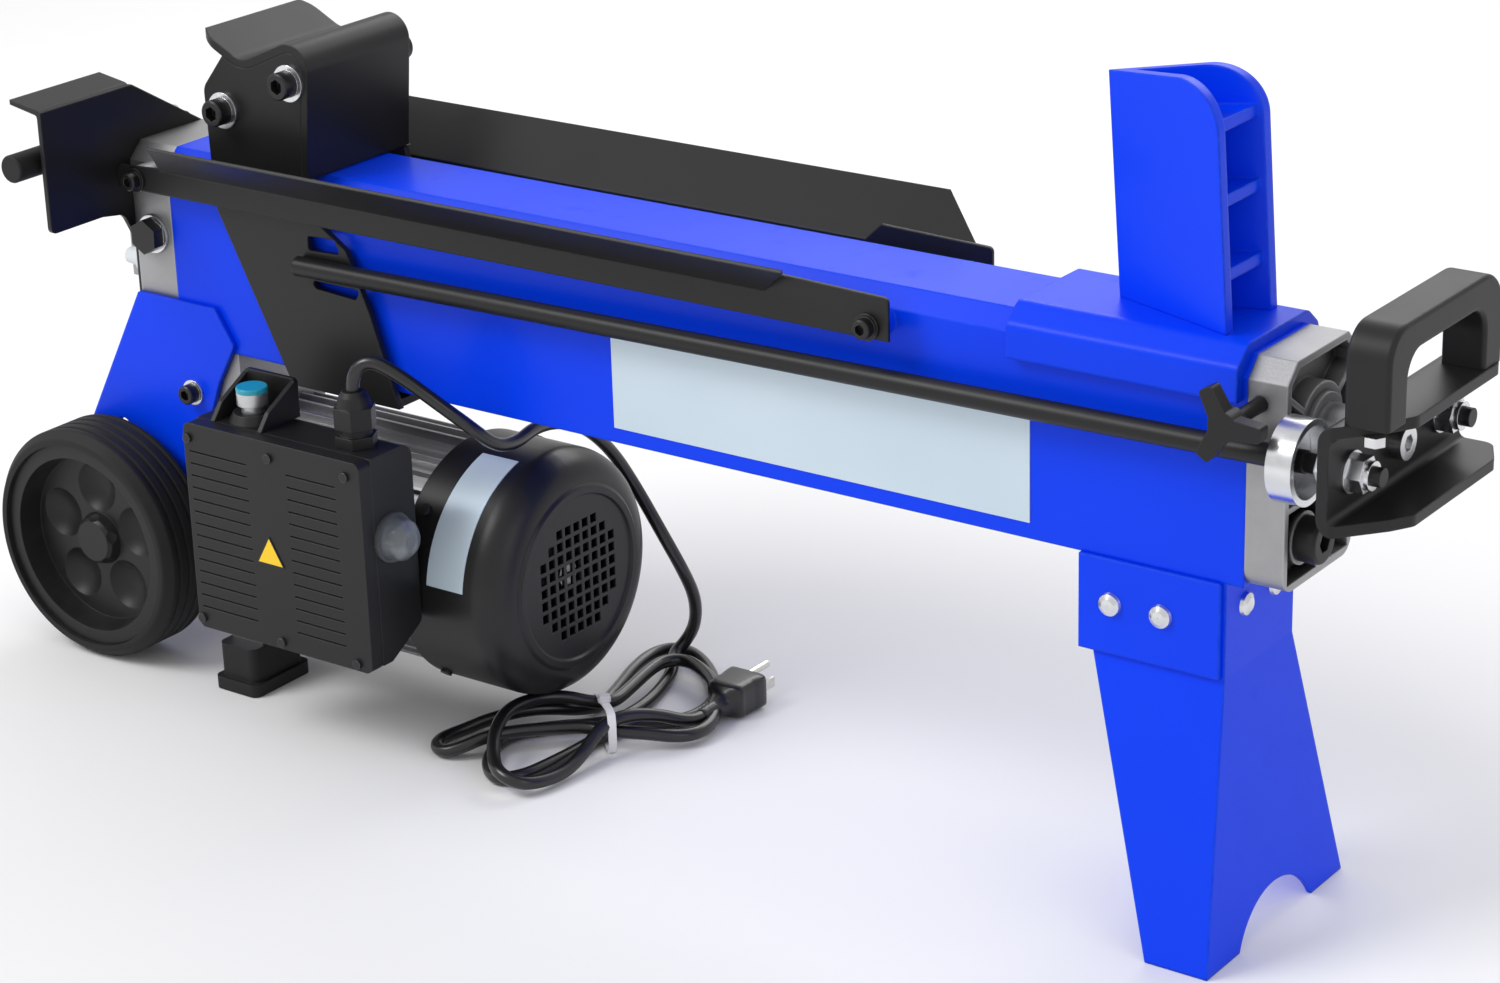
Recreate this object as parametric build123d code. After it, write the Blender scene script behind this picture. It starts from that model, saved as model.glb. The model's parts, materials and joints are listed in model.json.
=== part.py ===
from build123d import *
import os
from math import atan2, cos, degrees, hypot, pi, radians, sin, sqrt, tan

# Electric log splitter, millimetres.
# It is drawn with X along the beam (the wedge and the carrying handle at +X, the wheels at -X),
# Y across it and Z up, zero at the beam's front end, in the middle of its width, on the floor.
# The last function moves everything so that the origin is in the middle of the footprint.

# ---- driving dimensions -------------------------------------------------------------------
CLEAR = 0.4                 # general air gap between pieces of different bodies
FIT = 0.05                  # radial running clearance

# Beam and its end covers
BEAM_LENGTH = 737.0
BEAM_WIDTH = 74.0
BEAM_HEIGHT = 122.0
BEAM_BOTTOM = 205.0         # height of the beam's underside above the floor
BEAM_WALL = 4.0
BEAM_BEVEL = 10.0
FRONT_COVER = 22.0          # thickness
REAR_COVER = 31.0
HALF = BEAM_WIDTH / 2
TABLE = BEAM_BOTTOM + BEAM_HEIGHT           # height of the top that carries the log
BACK_X = -BEAM_LENGTH - REAR_COVER          # outer face of the rear cover
BOSS_RADIUS = 8.0

# Cylinder
STROKE = 375.0
RAM_Z = TABLE - 42          # height of the piston rod and of the pull rods at the yoke
CYLINDER_BORE = 50.0
CYLINDER_WALL = 4.0
CYLINDER_BASE = 12.0
CYLINDER_BACK_X = -STROKE - 125
ROD_DIA = 26.0
ROD_TAIL_RADIUS = 9.0       # where the piston is screwed on
ROD_STUD_RADIUS = 8.0       # where the yoke is screwed on
PISTON_LENGTH = 30.0
PISTON_X = CYLINDER_BACK_X + CYLINDER_BASE + 4
PORT_RADIUS = 8.0
PORT_BORE = 5.0
BUSH_RADIUS = 18.0
BUSH_DEPTH = 26.0

# Wedge and its saddle
LOG_LENGTH = 520.0          # longest log between the pusher and the wedge's edge
WEDGE_EDGE_X = -94.5        # the sharp edge at table height
WEDGE_HEIGHT = 124.0
WEDGE_LENGTH = 76.0
WEDGE_WIDTH = 54.0
WEDGE_PLATE = 7.0
WEDGE_LEAN = 3.7            # degrees, towards the log
WEDGE_CORNER = 26.0
RIB_HEIGHTS = (20.0, 58.0, 96.0)
RIB_PLATE = 6.0
SADDLE_LENGTH = 134.0
SADDLE_PLATE = 6.0
SADDLE_SIDE = 22.0          # how far it reaches down each side
SADDLE_X = (-3.0 - SADDLE_LENGTH, -3.0)

# Pusher and carriage
PUSHER_X = WEDGE_EDGE_X - LOG_LENGTH        # push face at table height
PUSHER_WIDTH = 90.0
PUSHER_HEIGHT = 90.0
PUSHER_PLATE = 5.0
PUSHER_LEAN = 5.0
PUSHER_CORNER = 16.0
CHEEK_PLATE = 4.0
CHEEK_SHOULDER = 47.0       # the cheeks' rear corner above the table
CHEEK_Y = PUSHER_WIDTH / 2  # outer face of a cheek
FLANGE_PLATE = 4.0
CARRIAGE_LOW = BEAM_BOTTOM - 7.5
CARRIAGE_BAR = 5.0

# Pull rods and the ring on the near one
PULL_ROD_Y = 49.5
PULL_ROD_DIA = 12.0
PULL_ROD_BACK_X = PUSHER_X - 8.5
PULL_ROD_BACK_Z = RAM_Z - 9
STUD_DIA = 10.0
COLLAR_RING_X = (28.0, 42.0)
COLLAR_RADIUS = 22.0

# Yoke and carrying handle
YOKE_X = 57.0               # back face of its web
YOKE_HALF = 73.0
YOKE_LOW = RAM_Z - 27
YOKE_TOP = RAM_Z + 30
YOKE_DEPTH = 35.0
YOKE_PLATE = 6.0
JAM_X = YOKE_X - 13.5       # the nut that locks each pull rod against the yoke's web
NUT = 17.0                  # across its flats
HANDLE_X = YOKE_X + 10
HANDLE_Y = (-67.0, 58.0)    # it sits a little off the middle of the yoke
HANDLE_TOP = YOKE_TOP + 50
HANDLE_DEPTH = 24.0
HANDLE_LEG = 20.0
HANDLE_BAR = 16.0

# Side rails
RAIL_Y = 51.0               # middle of a rail's upright
RAIL_PLATE = 2.0
RAIL_LOW = TABLE - 23
RAIL_BEND = TABLE - 7
RAIL_TIP = TABLE + 18
RAIL_FLARE = 33.5
RAIL_BACK_X = BACK_X + 4
RAIL_END_X = -203.5
RAIL_BOLT_X = RAIL_END_X - 13
RAIL_BOLT_Z = TABLE - 16.5
RAIL_BACK_BOLT_X = BACK_X + 19

# Wheels
WHEEL_X = BACK_X - 22
WHEEL_DIA = 150.0
WHEEL_WIDTH = 42.0
WHEEL_INNER_Y = 46.0
WHEEL_Z = WHEEL_DIA / 2
WHEEL_HUB = 15.0
TYRE_WALL = 9.0
AXLE_DIA = 12.0
BRACKET_PLATE = 3.5
WEB_OUTER = 24.0            # the web's outer face, from the wheel's inner face
LOBES = 5
LOBE_REACH = 34.0
LOBE_RADIUS = 22.0
LOBE_DEPTH = 7.0
GROOVES = 4

# Leg
LEG_TOP_X = (-88.0, -10.0)
LEG_FOOT_X = (-33.0, 4.0)
LEG_FOOT_HALF = 75.0
LEG_PLATE = 2.5
LEG_ARCH = 45.0
COLLAR_HEIGHT = 53.0
COLLAR_X = (-95.0, -12.0)
COLLAR_HALF = HALF + 2.6

# Motor and pump
MOTOR_Z = 96.0
MOTOR_RADIUS = 66.0         # housing under its fins
MOTOR_WALL = 12.0
MOTOR_LENGTH = 153.0
MOTOR_BACK_X = BACK_X + 78
MOTOR_FRONT_X = MOTOR_BACK_X + MOTOR_LENGTH
FIN_HEIGHT = 5.0
FINS = 36
FAN_COVER_RADIUS = 75.5
FAN_COVER_LENGTH = 75.0
FAN_COVER_END_X = MOTOR_FRONT_X + FAN_COVER_LENGTH
FAN_COVER_SKIN = 2.0
FAN_BLADES = 9
SHAFT_DIA = 16.0
GEAR_TEETH = 12
GEAR_MODULE = 2.5
GEAR_WIDTH = 14.0
GEAR_GAP = GEAR_TEETH * GEAR_MODULE         # distance between the pump gears' centres
GEAR_X = MOTOR_BACK_X - 36
GEAR_OUTER = GEAR_MODULE * (GEAR_TEETH / 2 + 0.85)
IDLER_RADIUS = 6.0
PUMP_X = (MOTOR_BACK_X - 46, MOTOR_BACK_X)
FOOT_X = (MOTOR_BACK_X - 1, MOTOR_BACK_X + 34)
FOOT_Y = (-80.0, -30.0)
FOOT_HEIGHT = 30.0

# Switch box
BOX_X = (MOTOR_BACK_X + 34, MOTOR_BACK_X + 171)
BOX_Z = (MOTOR_Z - 31, MOTOR_Z + 99)
BOX_FACE_Y = -122.0
BOX_BACK_Y = -MOTOR_RADIUS - FIN_HEIGHT - 5.6
BOX_COVER = 10.0
BOX_WALL = 3.0
BOX_SLOTS = 14
BOX_SCREWS = ((3.5, -9.5), (67, -10), (126, -9.5), (3.5, 6), (67, 4.5), (126, 4.5))
BUTTON_X, BUTTON_Y = BOX_X[0] + 34, -97.0
BUTTON_RADIUS = 10.0
BUTTON_STEM = BUTTON_RADIUS - 3
RESET_Y, RESET_Z = -98.0, BOX_Z[0] + 78
RESET_RADIUS = 4.0
GLAND_X, GLAND_Y = BOX_X[1] - 23, -97.0
GLAND_HEIGHT = 33.0
GLAND_NUT = 22.0            # across its flats

# Control lever, its guard and the valve
GUARD_PLATE = 3.0
GUARD_TOP = TABLE + 35
GUARD_LIP = 22.0            # how far its top reaches back
LEVER_PIVOT_Y = 12.0
LEVER_Z = TABLE + 1
LEVER_X = BACK_X - 17
LEVER_RADIUS = 5.0
LEVER_STUD = 4.0
GRIP_RADIUS = 8.5
GRIP_END_Y = -118.0
GRIP_LENGTH = 66.0
VALVE_Y = (-14.0, 27.0)
VALVE_LOW = BEAM_BOTTOM + 27
VALVE_TOP = TABLE - 19
SPOOL_X = LEVER_X
SPOOL_Y = LEVER_PIVOT_Y - 15
SPOOL_RADIUS = 6.0
RELIEF_AT = (-26.0, TABLE - 77)
RELIEF_THREAD = 5.0

# Dipstick and bleed screw in the front cover
DIP_Y, DIP_Z = -16.0, BEAM_BOTTOM + 25
DIP_RADIUS = 12.0
DIP_BOSS = 14.0
DIP_THREAD = 8.0
DIP_LENGTH = 150.0
KNOB_X, KNOB_Z = 7.0, TABLE - 22
KNOB_HOLE = 13.0
KNOB_SHANK = 4.0
KNOB_Y = -68.5              # back of its wings, clear of the stop collar
KNOB_THICK = 8.0
KNOB_REACH = 21.0

# Plates
PLATE_X = (-400.0, -126.0)
PLATE_Z = (BEAM_BOTTOM + 9, BEAM_BOTTOM + 67)
PLATE_THICK = 0.6

# Cord, in a tied hank on the floor with its plug
CORD_DIA = 8.0
CORD_EXIT_Z = BOX_Z[1] + GLAND_HEIGHT
HANK_AT = (92.0, 98.0)      # the tie, from the gland
HANK_HEIGHT = 15.0
TIE_HALF = 36.0
TIE_TURN = -46.0
PLUG_AT = (53.0, 50.0)      # the back of its body, from the tie
PLUG_LENGTH = 27.0
PLUG_AXIS_Z = 9.4
PIN_LENGTH = 17.0


# ---- small tools --------------------------------------------------------------------------
def box(x, y, z):
    """A block between two values on each axis."""
    size = [abs(b - a) for a, b in (x, y, z)]
    middle = [(a + b) / 2 for a, b in (x, y, z)]
    return Pos(*middle) * Box(*size)


def outline(corners):
    """A closed flat outline; a corner is (u, v) or (u, v, radius)."""
    points = [Vector(c[0], c[1]) for c in corners]
    radii = [c[2] if len(c) > 2 else 0 for c in corners]
    edges, ends = [], []
    for i, point in enumerate(points):
        back = (points[i - 1] - point).normalized()
        ahead = (points[(i + 1) % len(points)] - point).normalized()
        if radii[i] == 0:
            ends.append((point, point))
            continue
        half = radians(back.get_angle(ahead)) / 2
        reach = radii[i] / tan(half)
        start, end = point + back * reach, point + ahead * reach
        inward = (back + ahead).normalized()
        middle = point + inward * (radii[i] / sin(half) - radii[i])
        edges.append(ThreePointArc(start, middle, end))
        ends.append((start, end))
    for i in range(len(ends)):
        a, b = ends[i][1], ends[(i + 1) % len(ends)][0]
        if (b - a).length > 1e-6:
            edges.append(Line(a, b))
    return make_face(Curve() + edges)


def slab(corners, axis, start, end):
    """An outline made thick along an axis; its corners are given in the other two, in X, Y, Z order."""
    plane = {
        "x": Plane((start, 0, 0), x_dir=(0, 1, 0), z_dir=(1, 0, 0)),
        "y": Plane((0, end, 0), x_dir=(1, 0, 0), z_dir=(0, -1, 0)),
        "z": Plane((0, 0, start), x_dir=(1, 0, 0), z_dir=(0, 0, 1)),
    }[axis]
    return extrude(plane * outline(corners), end - start)


AXES = {"x": (1, 0, 0), "y": (0, 1, 0), "z": (0, 0, 1)}


def rod(axis, start, end, at, radius):
    """A round bar along an axis from start to end, at the other two coordinates."""
    i = "xyz".index(axis)
    origin = list(at)
    origin.insert(i, start)
    return Solid.make_cylinder(radius, end - start, Plane(tuple(origin), z_dir=AXES[axis]))


def turned(profile, axis, at):
    """A turned piece: a profile of (along, radius[, corner radius]) about an axis."""
    i = "xyz".index(axis)
    origin = list(at)
    origin.insert(i, 0)
    side = AXES["z"] if axis != "z" else AXES["x"]
    ahead = Vector(*AXES[axis])
    plane = Plane(tuple(origin), x_dir=AXES[axis], z_dir=ahead.cross(Vector(*side)))
    return revolve(plane * outline(profile), Axis(tuple(origin), AXES[axis]), 360)


def prism(axis, start, end, at, across, sides=6, turn=0.0):
    """A bar with equal flats, such as a hexagon nut, by its size across flats."""
    i = "xyz".index(axis)
    origin = list(at)
    origin.insert(i, start)
    side = {"x": (0, 1, 0), "y": (0, 0, 1), "z": (1, 0, 0)}[axis]
    plane = Plane(tuple(origin), x_dir=side, z_dir=AXES[axis])
    shape = RegularPolygon(across / 2, sides, major_radius=False, rotation=turn)
    return extrude(plane * shape, end - start)


def mirrored(shape):
    """The same piece on the other side of the machine."""
    return mirror(shape, Plane.XZ)


def both(shape):
    """A piece and its mirror image, as separate solids."""
    return group([shape, mirrored(shape)])


def group(shapes):
    """Separate solids that share one node."""
    solids = []
    for shape in shapes:
        solids += shape.solids()
    return Compound(solids)


# ---- beam, covers and hydraulics ----------------------------------------------------------
def beam_section(inset=0.0, base=0.0):
    """The beam's cross-section, with bevelled top edges, drawn smaller by inset."""
    half, low, top = HALF - inset, BEAM_BOTTOM + inset + base, TABLE - inset
    bevel = BEAM_BEVEL - inset * (2 - sqrt(2))
    return [(-half, low), (half, low), (half, top - bevel), (half - bevel, top),
            (-half + bevel, top), (-half, top - bevel)]


def make_beam():
    shell = slab(beam_section(), "x", -BEAM_LENGTH, 0)
    shell -= slab(beam_section(BEAM_WALL), "x", -BEAM_LENGTH, 0)
    rib = BEAM_WALL
    shell += box((CYLINDER_BACK_X - rib, CYLINDER_BACK_X), (-HALF + 2, HALF - 2),
                 (BEAM_BOTTOM + 2, TABLE - BEAM_BEVEL - 6))
    shell -= rod("x", CYLINDER_BACK_X - 2 * rib, CYLINDER_BACK_X + rib, (0, RAM_Z), PORT_RADIUS + 4)
    for side in (-1, 1):
        reach = sorted((side * HALF, side * (RAIL_Y - RAIL_PLATE / 2)))
        shell += rod("y", *reach, (RAIL_BOLT_X, RAIL_BOLT_Z), BOSS_RADIUS)
    return shell


def make_rear_cover():
    body = slab(beam_section(), "x", BACK_X, -BEAM_LENGTH)
    body = fillet(body.edges().filter_by(Axis.X).group_by(Axis.Z)[0], 6)
    for side in (-1, 1):
        reach = sorted((side * HALF, side * (RAIL_Y - RAIL_PLATE / 2)))
        body += rod("y", *reach, (RAIL_BACK_BOLT_X, RAIL_BOLT_Z), BOSS_RADIUS)
    pocket = slab([(-27, BEAM_BOTTOM + 12, 5), (27, BEAM_BOTTOM + 12, 5), (27, TABLE - 16, 5),
                   (-27, TABLE - 16, 5)], "x", -BEAM_LENGTH - 12, -BEAM_LENGTH)
    return body - pocket


def make_front_cover():
    body = slab(beam_section(), "x", 0, FRONT_COVER)
    body = fillet(body.edges().filter_by(Axis.X).group_by(Axis.Z)[0], 10)
    rim, deep = 4.0, 11.0
    inside = slab(beam_section(rim), "x", FRONT_COVER - deep, FRONT_COVER)
    inside = inside - rod("x", FRONT_COVER - deep, FRONT_COVER, (0, RAM_Z), BUSH_RADIUS + 5)
    inside = inside - rod("x", FRONT_COVER - deep, FRONT_COVER, (DIP_Y, DIP_Z), DIP_BOSS)
    web = 3.0
    for angle in (35, 145, 215, 270, 325):
        rib = box((FRONT_COVER - deep, FRONT_COVER), (BUSH_RADIUS, 90), (-web / 2, web / 2))
        inside = inside - Pos(0, 0, RAM_Z) * Rot(angle, 0, 0) * rib
    inside = inside - box((FRONT_COVER - deep, FRONT_COVER), (-HALF, HALF),
                          (DIP_Z + 18, DIP_Z + 18 + web))
    body = body - inside
    body = body - rod("x", 0, FRONT_COVER, (0, RAM_Z), BUSH_RADIUS)
    body = body - rod("x", 0, FRONT_COVER, (DIP_Y, DIP_Z), DIP_THREAD + FIT)
    return body - rod("y", -HALF, -HALF + KNOB_HOLE, (KNOB_X, KNOB_Z), KNOB_SHANK + FIT)


def make_cylinder_tube():
    outer = CYLINDER_BORE / 2 + CYLINDER_WALL
    tube = rod("x", CYLINDER_BACK_X, 0, (0, RAM_Z), outer)
    tube -= rod("x", CYLINDER_BACK_X + CYLINDER_BASE, 0, (0, RAM_Z), CYLINDER_BORE / 2)
    tube += rod("x", -BEAM_LENGTH, CYLINDER_BACK_X, (0, RAM_Z), PORT_RADIUS)
    return tube - rod("x", -BEAM_LENGTH, CYLINDER_BACK_X + CYLINDER_BASE, (0, RAM_Z), PORT_BORE)


def make_rod_bush():
    inner = ROD_DIA / 2 + FIT
    flange = CYLINDER_BORE / 2
    return turned([(-BUSH_DEPTH, inner), (FRONT_COVER + 3, inner), (FRONT_COVER + 3, BUSH_RADIUS),
                   (0, BUSH_RADIUS), (0, flange), (-BUSH_DEPTH, flange)], "x", (0, RAM_Z))


def make_piston_rod():
    back = PISTON_X
    shaft = rod("x", back + PISTON_LENGTH, YOKE_X, (0, RAM_Z), ROD_DIA / 2)
    shaft += rod("x", back, back + PISTON_LENGTH, (0, RAM_Z), ROD_TAIL_RADIUS)
    return shaft + rod("x", YOKE_X, YOKE_X + YOKE_PLATE, (0, RAM_Z), ROD_STUD_RADIUS)


def make_piston():
    body = rod("x", PISTON_X, PISTON_X + PISTON_LENGTH, (0, RAM_Z), CYLINDER_BORE / 2 - FIT)
    body -= rod("x", PISTON_X, PISTON_X + PISTON_LENGTH, (0, RAM_Z), ROD_TAIL_RADIUS)
    for at in (6, 14, 22):
        ring = rod("x", PISTON_X + at, PISTON_X + at + 3, (0, RAM_Z), CYLINDER_BORE / 2)
        ring -= rod("x", PISTON_X + at, PISTON_X + at + 3, (0, RAM_Z), CYLINDER_BORE / 2 - 2)
        body -= ring
    return body


def hex_bolt_y(x, z, seat, across, head, washer):
    """A hexagon bolt head on its washer, standing out towards -Y from a seat."""
    disc = rod("y", seat - 2, seat, (x, z), washer)
    top = prism("y", seat - 2 - head, seat - 2, (x, z), across)
    return disc + top


def socket_bolt_y(x, z, seat, radius, head, washer=0.0, thick=1.6):
    """A socket-head bolt standing out towards -Y from a seat, with a washer if it has a radius."""
    face = seat - (thick if washer else 0)
    bolt = turned([(face - head, 0), (face - head, radius - 0.8), (face - head + 0.8, radius),
                   (face, radius), (face, 0)], "y", (x, z))
    bolt = bolt - prism("y", face - head, face - head * 0.4, (x, z), radius)
    if washer:
        bolt += rod("y", face, seat, (x, z), washer)
    return bolt


def make_cover_bolts():
    return both(hex_bolt_y(BACK_X + 15, TABLE - 55, -HALF, 19.0, 8.0, 12.0))


# ---- wedge --------------------------------------------------------------------------------
def make_wedge():
    """Two plates that meet in a sharp edge, with three cross ribs between them, open at the back."""
    lean = tan(radians(WEDGE_LEAN))
    top, length, corner = WEDGE_HEIGHT, WEDGE_LENGTH, WEDGE_CORNER
    foot = -length * lean - 1
    side = [(0, foot), (length, foot), (length, top, corner), (0, top - 5)]
    blank = slab(side, "y", -WEDGE_WIDTH, WEDGE_WIDTH)
    half, skin = WEDGE_WIDTH / 2, WEDGE_PLATE
    wide = length + 1
    vee = [(0, -0.4), (wide, -half), (wide, -half + skin), (2.2 * skin, 0), (wide, half - skin),
           (wide, half), (0, 0.4)]
    plates = blank & slab(vee, "z", foot, top)
    for height in RIB_HEIGHTS:
        rib = slab([(length * 0.42, -half * 0.42 + skin / 3), (length - 3, -half + skin * 0.7),
                    (length - 3, half - skin * 0.7), (length * 0.42, half * 0.42 - skin / 3)],
                   "z", height, height + RIB_PLATE)
        plates += rib
    plates = extruded_lean(plates, lean)
    return Pos(WEDGE_EDGE_X, 0, TABLE + SADDLE_PLATE) * plates


def extruded_lean(shape, lean):
    """Tips a piece that stands on z = 0 towards -X by a small slope."""
    tipped = Rot(0, -degrees(atan2(lean, 1)), 0) * shape
    floor = box((-60, 160), (-60, 60), (-60, 0))
    return tipped - floor


def make_wedge_saddle():
    """The folded plate over the beam that carries the wedge."""
    start, end = SADDLE_X
    out = HALF + SADDLE_PLATE
    low = TABLE - SADDLE_SIDE
    section = [(-out, low), (-HALF, low), (-HALF, TABLE - BEAM_BEVEL), (-HALF + BEAM_BEVEL, TABLE),
               (HALF - BEAM_BEVEL, TABLE), (HALF, TABLE - BEAM_BEVEL), (HALF, low), (out, low),
               (out, TABLE - 4, 6), (HALF - 6, TABLE + SADDLE_PLATE, 8),
               (-HALF + 6, TABLE + SADDLE_PLATE, 8), (-out, TABLE - 4, 6)]
    return slab(section, "x", start, end)


# ---- pusher, carriage and pull rods -------------------------------------------------------
def pusher_line():
    """The corners of the pusher's front and upper face, from the foot of the face to the lip behind."""
    low, high = TABLE + 1.2, TABLE + PUSHER_HEIGHT
    lean = tan(radians(PUSHER_LEAN))
    return [(PUSHER_X, low), (PUSHER_X + (high - low) * lean, high, 14),
            (PUSHER_X - 46, high - 24, 16), (PUSHER_X - 77, high - 8)]


def pusher_flange():
    """The side outline of the flanges and cheeks, before the pusher's sheet cuts it off."""
    top = TABLE + PUSHER_HEIGHT + 4
    return [(PUSHER_X - 76, TABLE + 5), (PUSHER_X + 20, TABLE + 5), (PUSHER_X + 20, top),
            (PUSHER_X - 40, top), (PUSHER_X - 76, TABLE + CHEEK_SHOULDER, 10)]


def past_pusher():
    """Everything above the table that is in front of and above the back of the pusher's sheet."""
    back = offset_line(pusher_line(), PUSHER_PLATE)
    away = [(PUSHER_X - 200, TABLE + 300), (PUSHER_X + 300, TABLE + 300), (PUSHER_X + 300, back[0][1])]
    return slab(back + away, "y", -CHEEK_Y - 1, CHEEK_Y + 1)


def make_pusher():
    """One bent sheet: the push face, its curved top and the lip that rises behind."""
    line = pusher_line()
    sheet = outline(line + offset_line(line, PUSHER_PLATE)[::-1])
    body = extrude(Plane((0, CHEEK_Y, 0), x_dir=(1, 0, 0), z_dir=(0, -1, 0)) * sheet, 2 * CHEEK_Y)
    corner = PUSHER_CORNER
    back, front = line[-1][0] - PUSHER_PLATE, line[1][0] + PUSHER_PLATE
    plan = [(back, -CHEEK_Y, corner), (front, -CHEEK_Y), (front, CHEEK_Y), (back, CHEEK_Y, corner)]
    body = body & slab(plan, "z", line[0][1], line[1][1] + PUSHER_PLATE)
    inner = CHEEK_Y - CHEEK_PLATE
    for side in (-1, 1):
        reach = sorted((side * inner, side * (inner - FLANGE_PLATE)))
        body += slab(pusher_flange(), "y", *reach) - past_pusher()
    return body


def offset_line(line, thick):
    """The other side of a bent sheet: a line of corners, each moved square to its runs."""
    moved = []
    for i, corner in enumerate(line):
        here = Vector(corner[0], corner[1])
        before, after = line[max(i - 1, 0)], line[min(i + 1, len(line) - 1)]
        behind = here - Vector(before[0], before[1])
        ahead = Vector(after[0], after[1]) - here
        a = (behind if behind.length else ahead).normalized()
        b = (ahead if ahead.length else behind).normalized()
        square = Vector(-a.Y, a.X)
        turn = (square + Vector(-b.Y, b.X)).normalized()
        at = here + turn * (thick / turn.dot(square))
        if len(corner) < 3:
            moved.append((at.X, at.Y))
            continue
        left = a.X * b.Y - a.Y * b.X > 0
        moved.append((at.X, at.Y, corner[2] - thick if left else corner[2] + thick))
    return moved


def make_carriage():
    """Two slanted side plates, joined by a bar that runs just under the beam."""
    front = PUSHER_X - 0.4
    top = TABLE + PUSHER_HEIGHT + 4
    plate = [(PUSHER_X - 78, TABLE + CHEEK_SHOULDER, 10), (PUSHER_X - 40, top),
             (PUSHER_X + 20, top), (PUSHER_X + 20, TABLE + 5), (front, TABLE + 1),
             (front, TABLE), (PUSHER_X + 8, TABLE - 26), (PUSHER_X + 26, TABLE - 38, 4),
             (PUSHER_X + 41, TABLE - 73, 4), (PUSHER_X + 60, CARRIAGE_LOW),
             (PUSHER_X - 24, CARRIAGE_LOW), (PUSHER_X - 76, TABLE - 26, 6)]
    inner = CHEEK_Y - CHEEK_PLATE
    body = slab(plate, "y", -CHEEK_Y, -inner) - past_pusher()
    window = [(PULL_ROD_BACK_X + 5, PULL_ROD_BACK_Z + 9, 2), (PULL_ROD_BACK_X + 30, PULL_ROD_BACK_Z + 10, 2),
              (PULL_ROD_BACK_X + 26, PULL_ROD_BACK_Z + 19, 3), (PULL_ROD_BACK_X + 5, PULL_ROD_BACK_Z + 18, 2)]
    lower = [(PULL_ROD_BACK_X + 5, PULL_ROD_BACK_Z - 9, 2), (PULL_ROD_BACK_X + 9, PULL_ROD_BACK_Z - 14, 3),
             (PULL_ROD_BACK_X + 40, PULL_ROD_BACK_Z - 16, 3), (PULL_ROD_BACK_X + 44, PULL_ROD_BACK_Z - 9, 2)]
    body -= slab(window, "y", -CHEEK_Y, -inner)
    body -= slab(lower, "y", -CHEEK_Y, -inner)
    body -= pull_rod_bar()
    body += mirrored(body)
    bar = box((PUSHER_X - 22, PUSHER_X + 58), (-inner, inner), (CARRIAGE_LOW, CARRIAGE_LOW + CARRIAGE_BAR))
    return body + bar


def pull_rod_bar():
    """The long plain length of a pull rod, which rises slightly towards the yoke."""
    start = Vector(PULL_ROD_BACK_X, -PULL_ROD_Y, PULL_ROD_BACK_Z)
    end = Vector(JAM_X - 4, -PULL_ROD_Y, RAM_Z)
    along = end - start
    return Solid.make_cylinder(PULL_ROD_DIA / 2, along.length, Plane(start, z_dir=along))


def make_pull_rods():
    bar = pull_rod_bar()
    stud = rod("x", JAM_X - 6, YOKE_X + 24, (-PULL_ROD_Y, RAM_Z), STUD_DIA / 2)
    return both(bar + stud)


def make_stop_collar():
    """A turned ring, clamped on the near rod, with a deep counterbore."""
    at = (-PULL_ROD_Y, RAM_Z)
    ring = rod("x", *COLLAR_RING_X, at, COLLAR_RADIUS)
    ring -= rod("x", COLLAR_RING_X[0] + 4, COLLAR_RING_X[1], at, COLLAR_RADIUS - 3.5)
    return ring - pull_rod_bar() - rod("x", JAM_X - 6, YOKE_X, at, STUD_DIA / 2)


def make_pusher_bolts():
    places = ((PUSHER_X - 63, TABLE + 35), (PUSHER_X - 9, TABLE + 58.5))
    bolts = []
    for x, z in places:
        bolts.append(socket_bolt_y(x, z, -CHEEK_Y, 8.0, 9.5, washer=11.0))
    return group(bolts + [mirrored(b) for b in bolts])


# ---- yoke and carrying handle -------------------------------------------------------------
def make_yoke():
    back, front = YOKE_X, YOKE_X + YOKE_DEPTH
    channel = [(back, YOKE_LOW, 9), (front, YOKE_LOW), (front, YOKE_LOW + YOKE_PLATE),
               (back + YOKE_PLATE, YOKE_LOW + YOKE_PLATE, 4), (back + YOKE_PLATE, YOKE_TOP - YOKE_PLATE, 4),
               (front, YOKE_TOP - YOKE_PLATE), (front, YOKE_TOP), (back, YOKE_TOP, 9)]
    body = slab(channel, "y", -YOKE_HALF, YOKE_HALF)
    plan = [(back, -YOKE_HALF), (back + 8, -YOKE_HALF, 4), (front - 7, -YOKE_HALF + 24, 6),
            (front, -YOKE_HALF + 36, 8), (front, YOKE_HALF - 20, 8), (front - 10, YOKE_HALF, 8),
            (back, YOKE_HALF)]
    body = body & slab(plan, "z", YOKE_LOW, YOKE_TOP)
    for y in (-PULL_ROD_Y, PULL_ROD_Y):
        body -= rod("x", back, back + YOKE_PLATE, (y, RAM_Z), STUD_DIA / 2)
    return body - rod("x", back, back + YOKE_PLATE, (0, RAM_Z), ROD_STUD_RADIUS)


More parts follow.
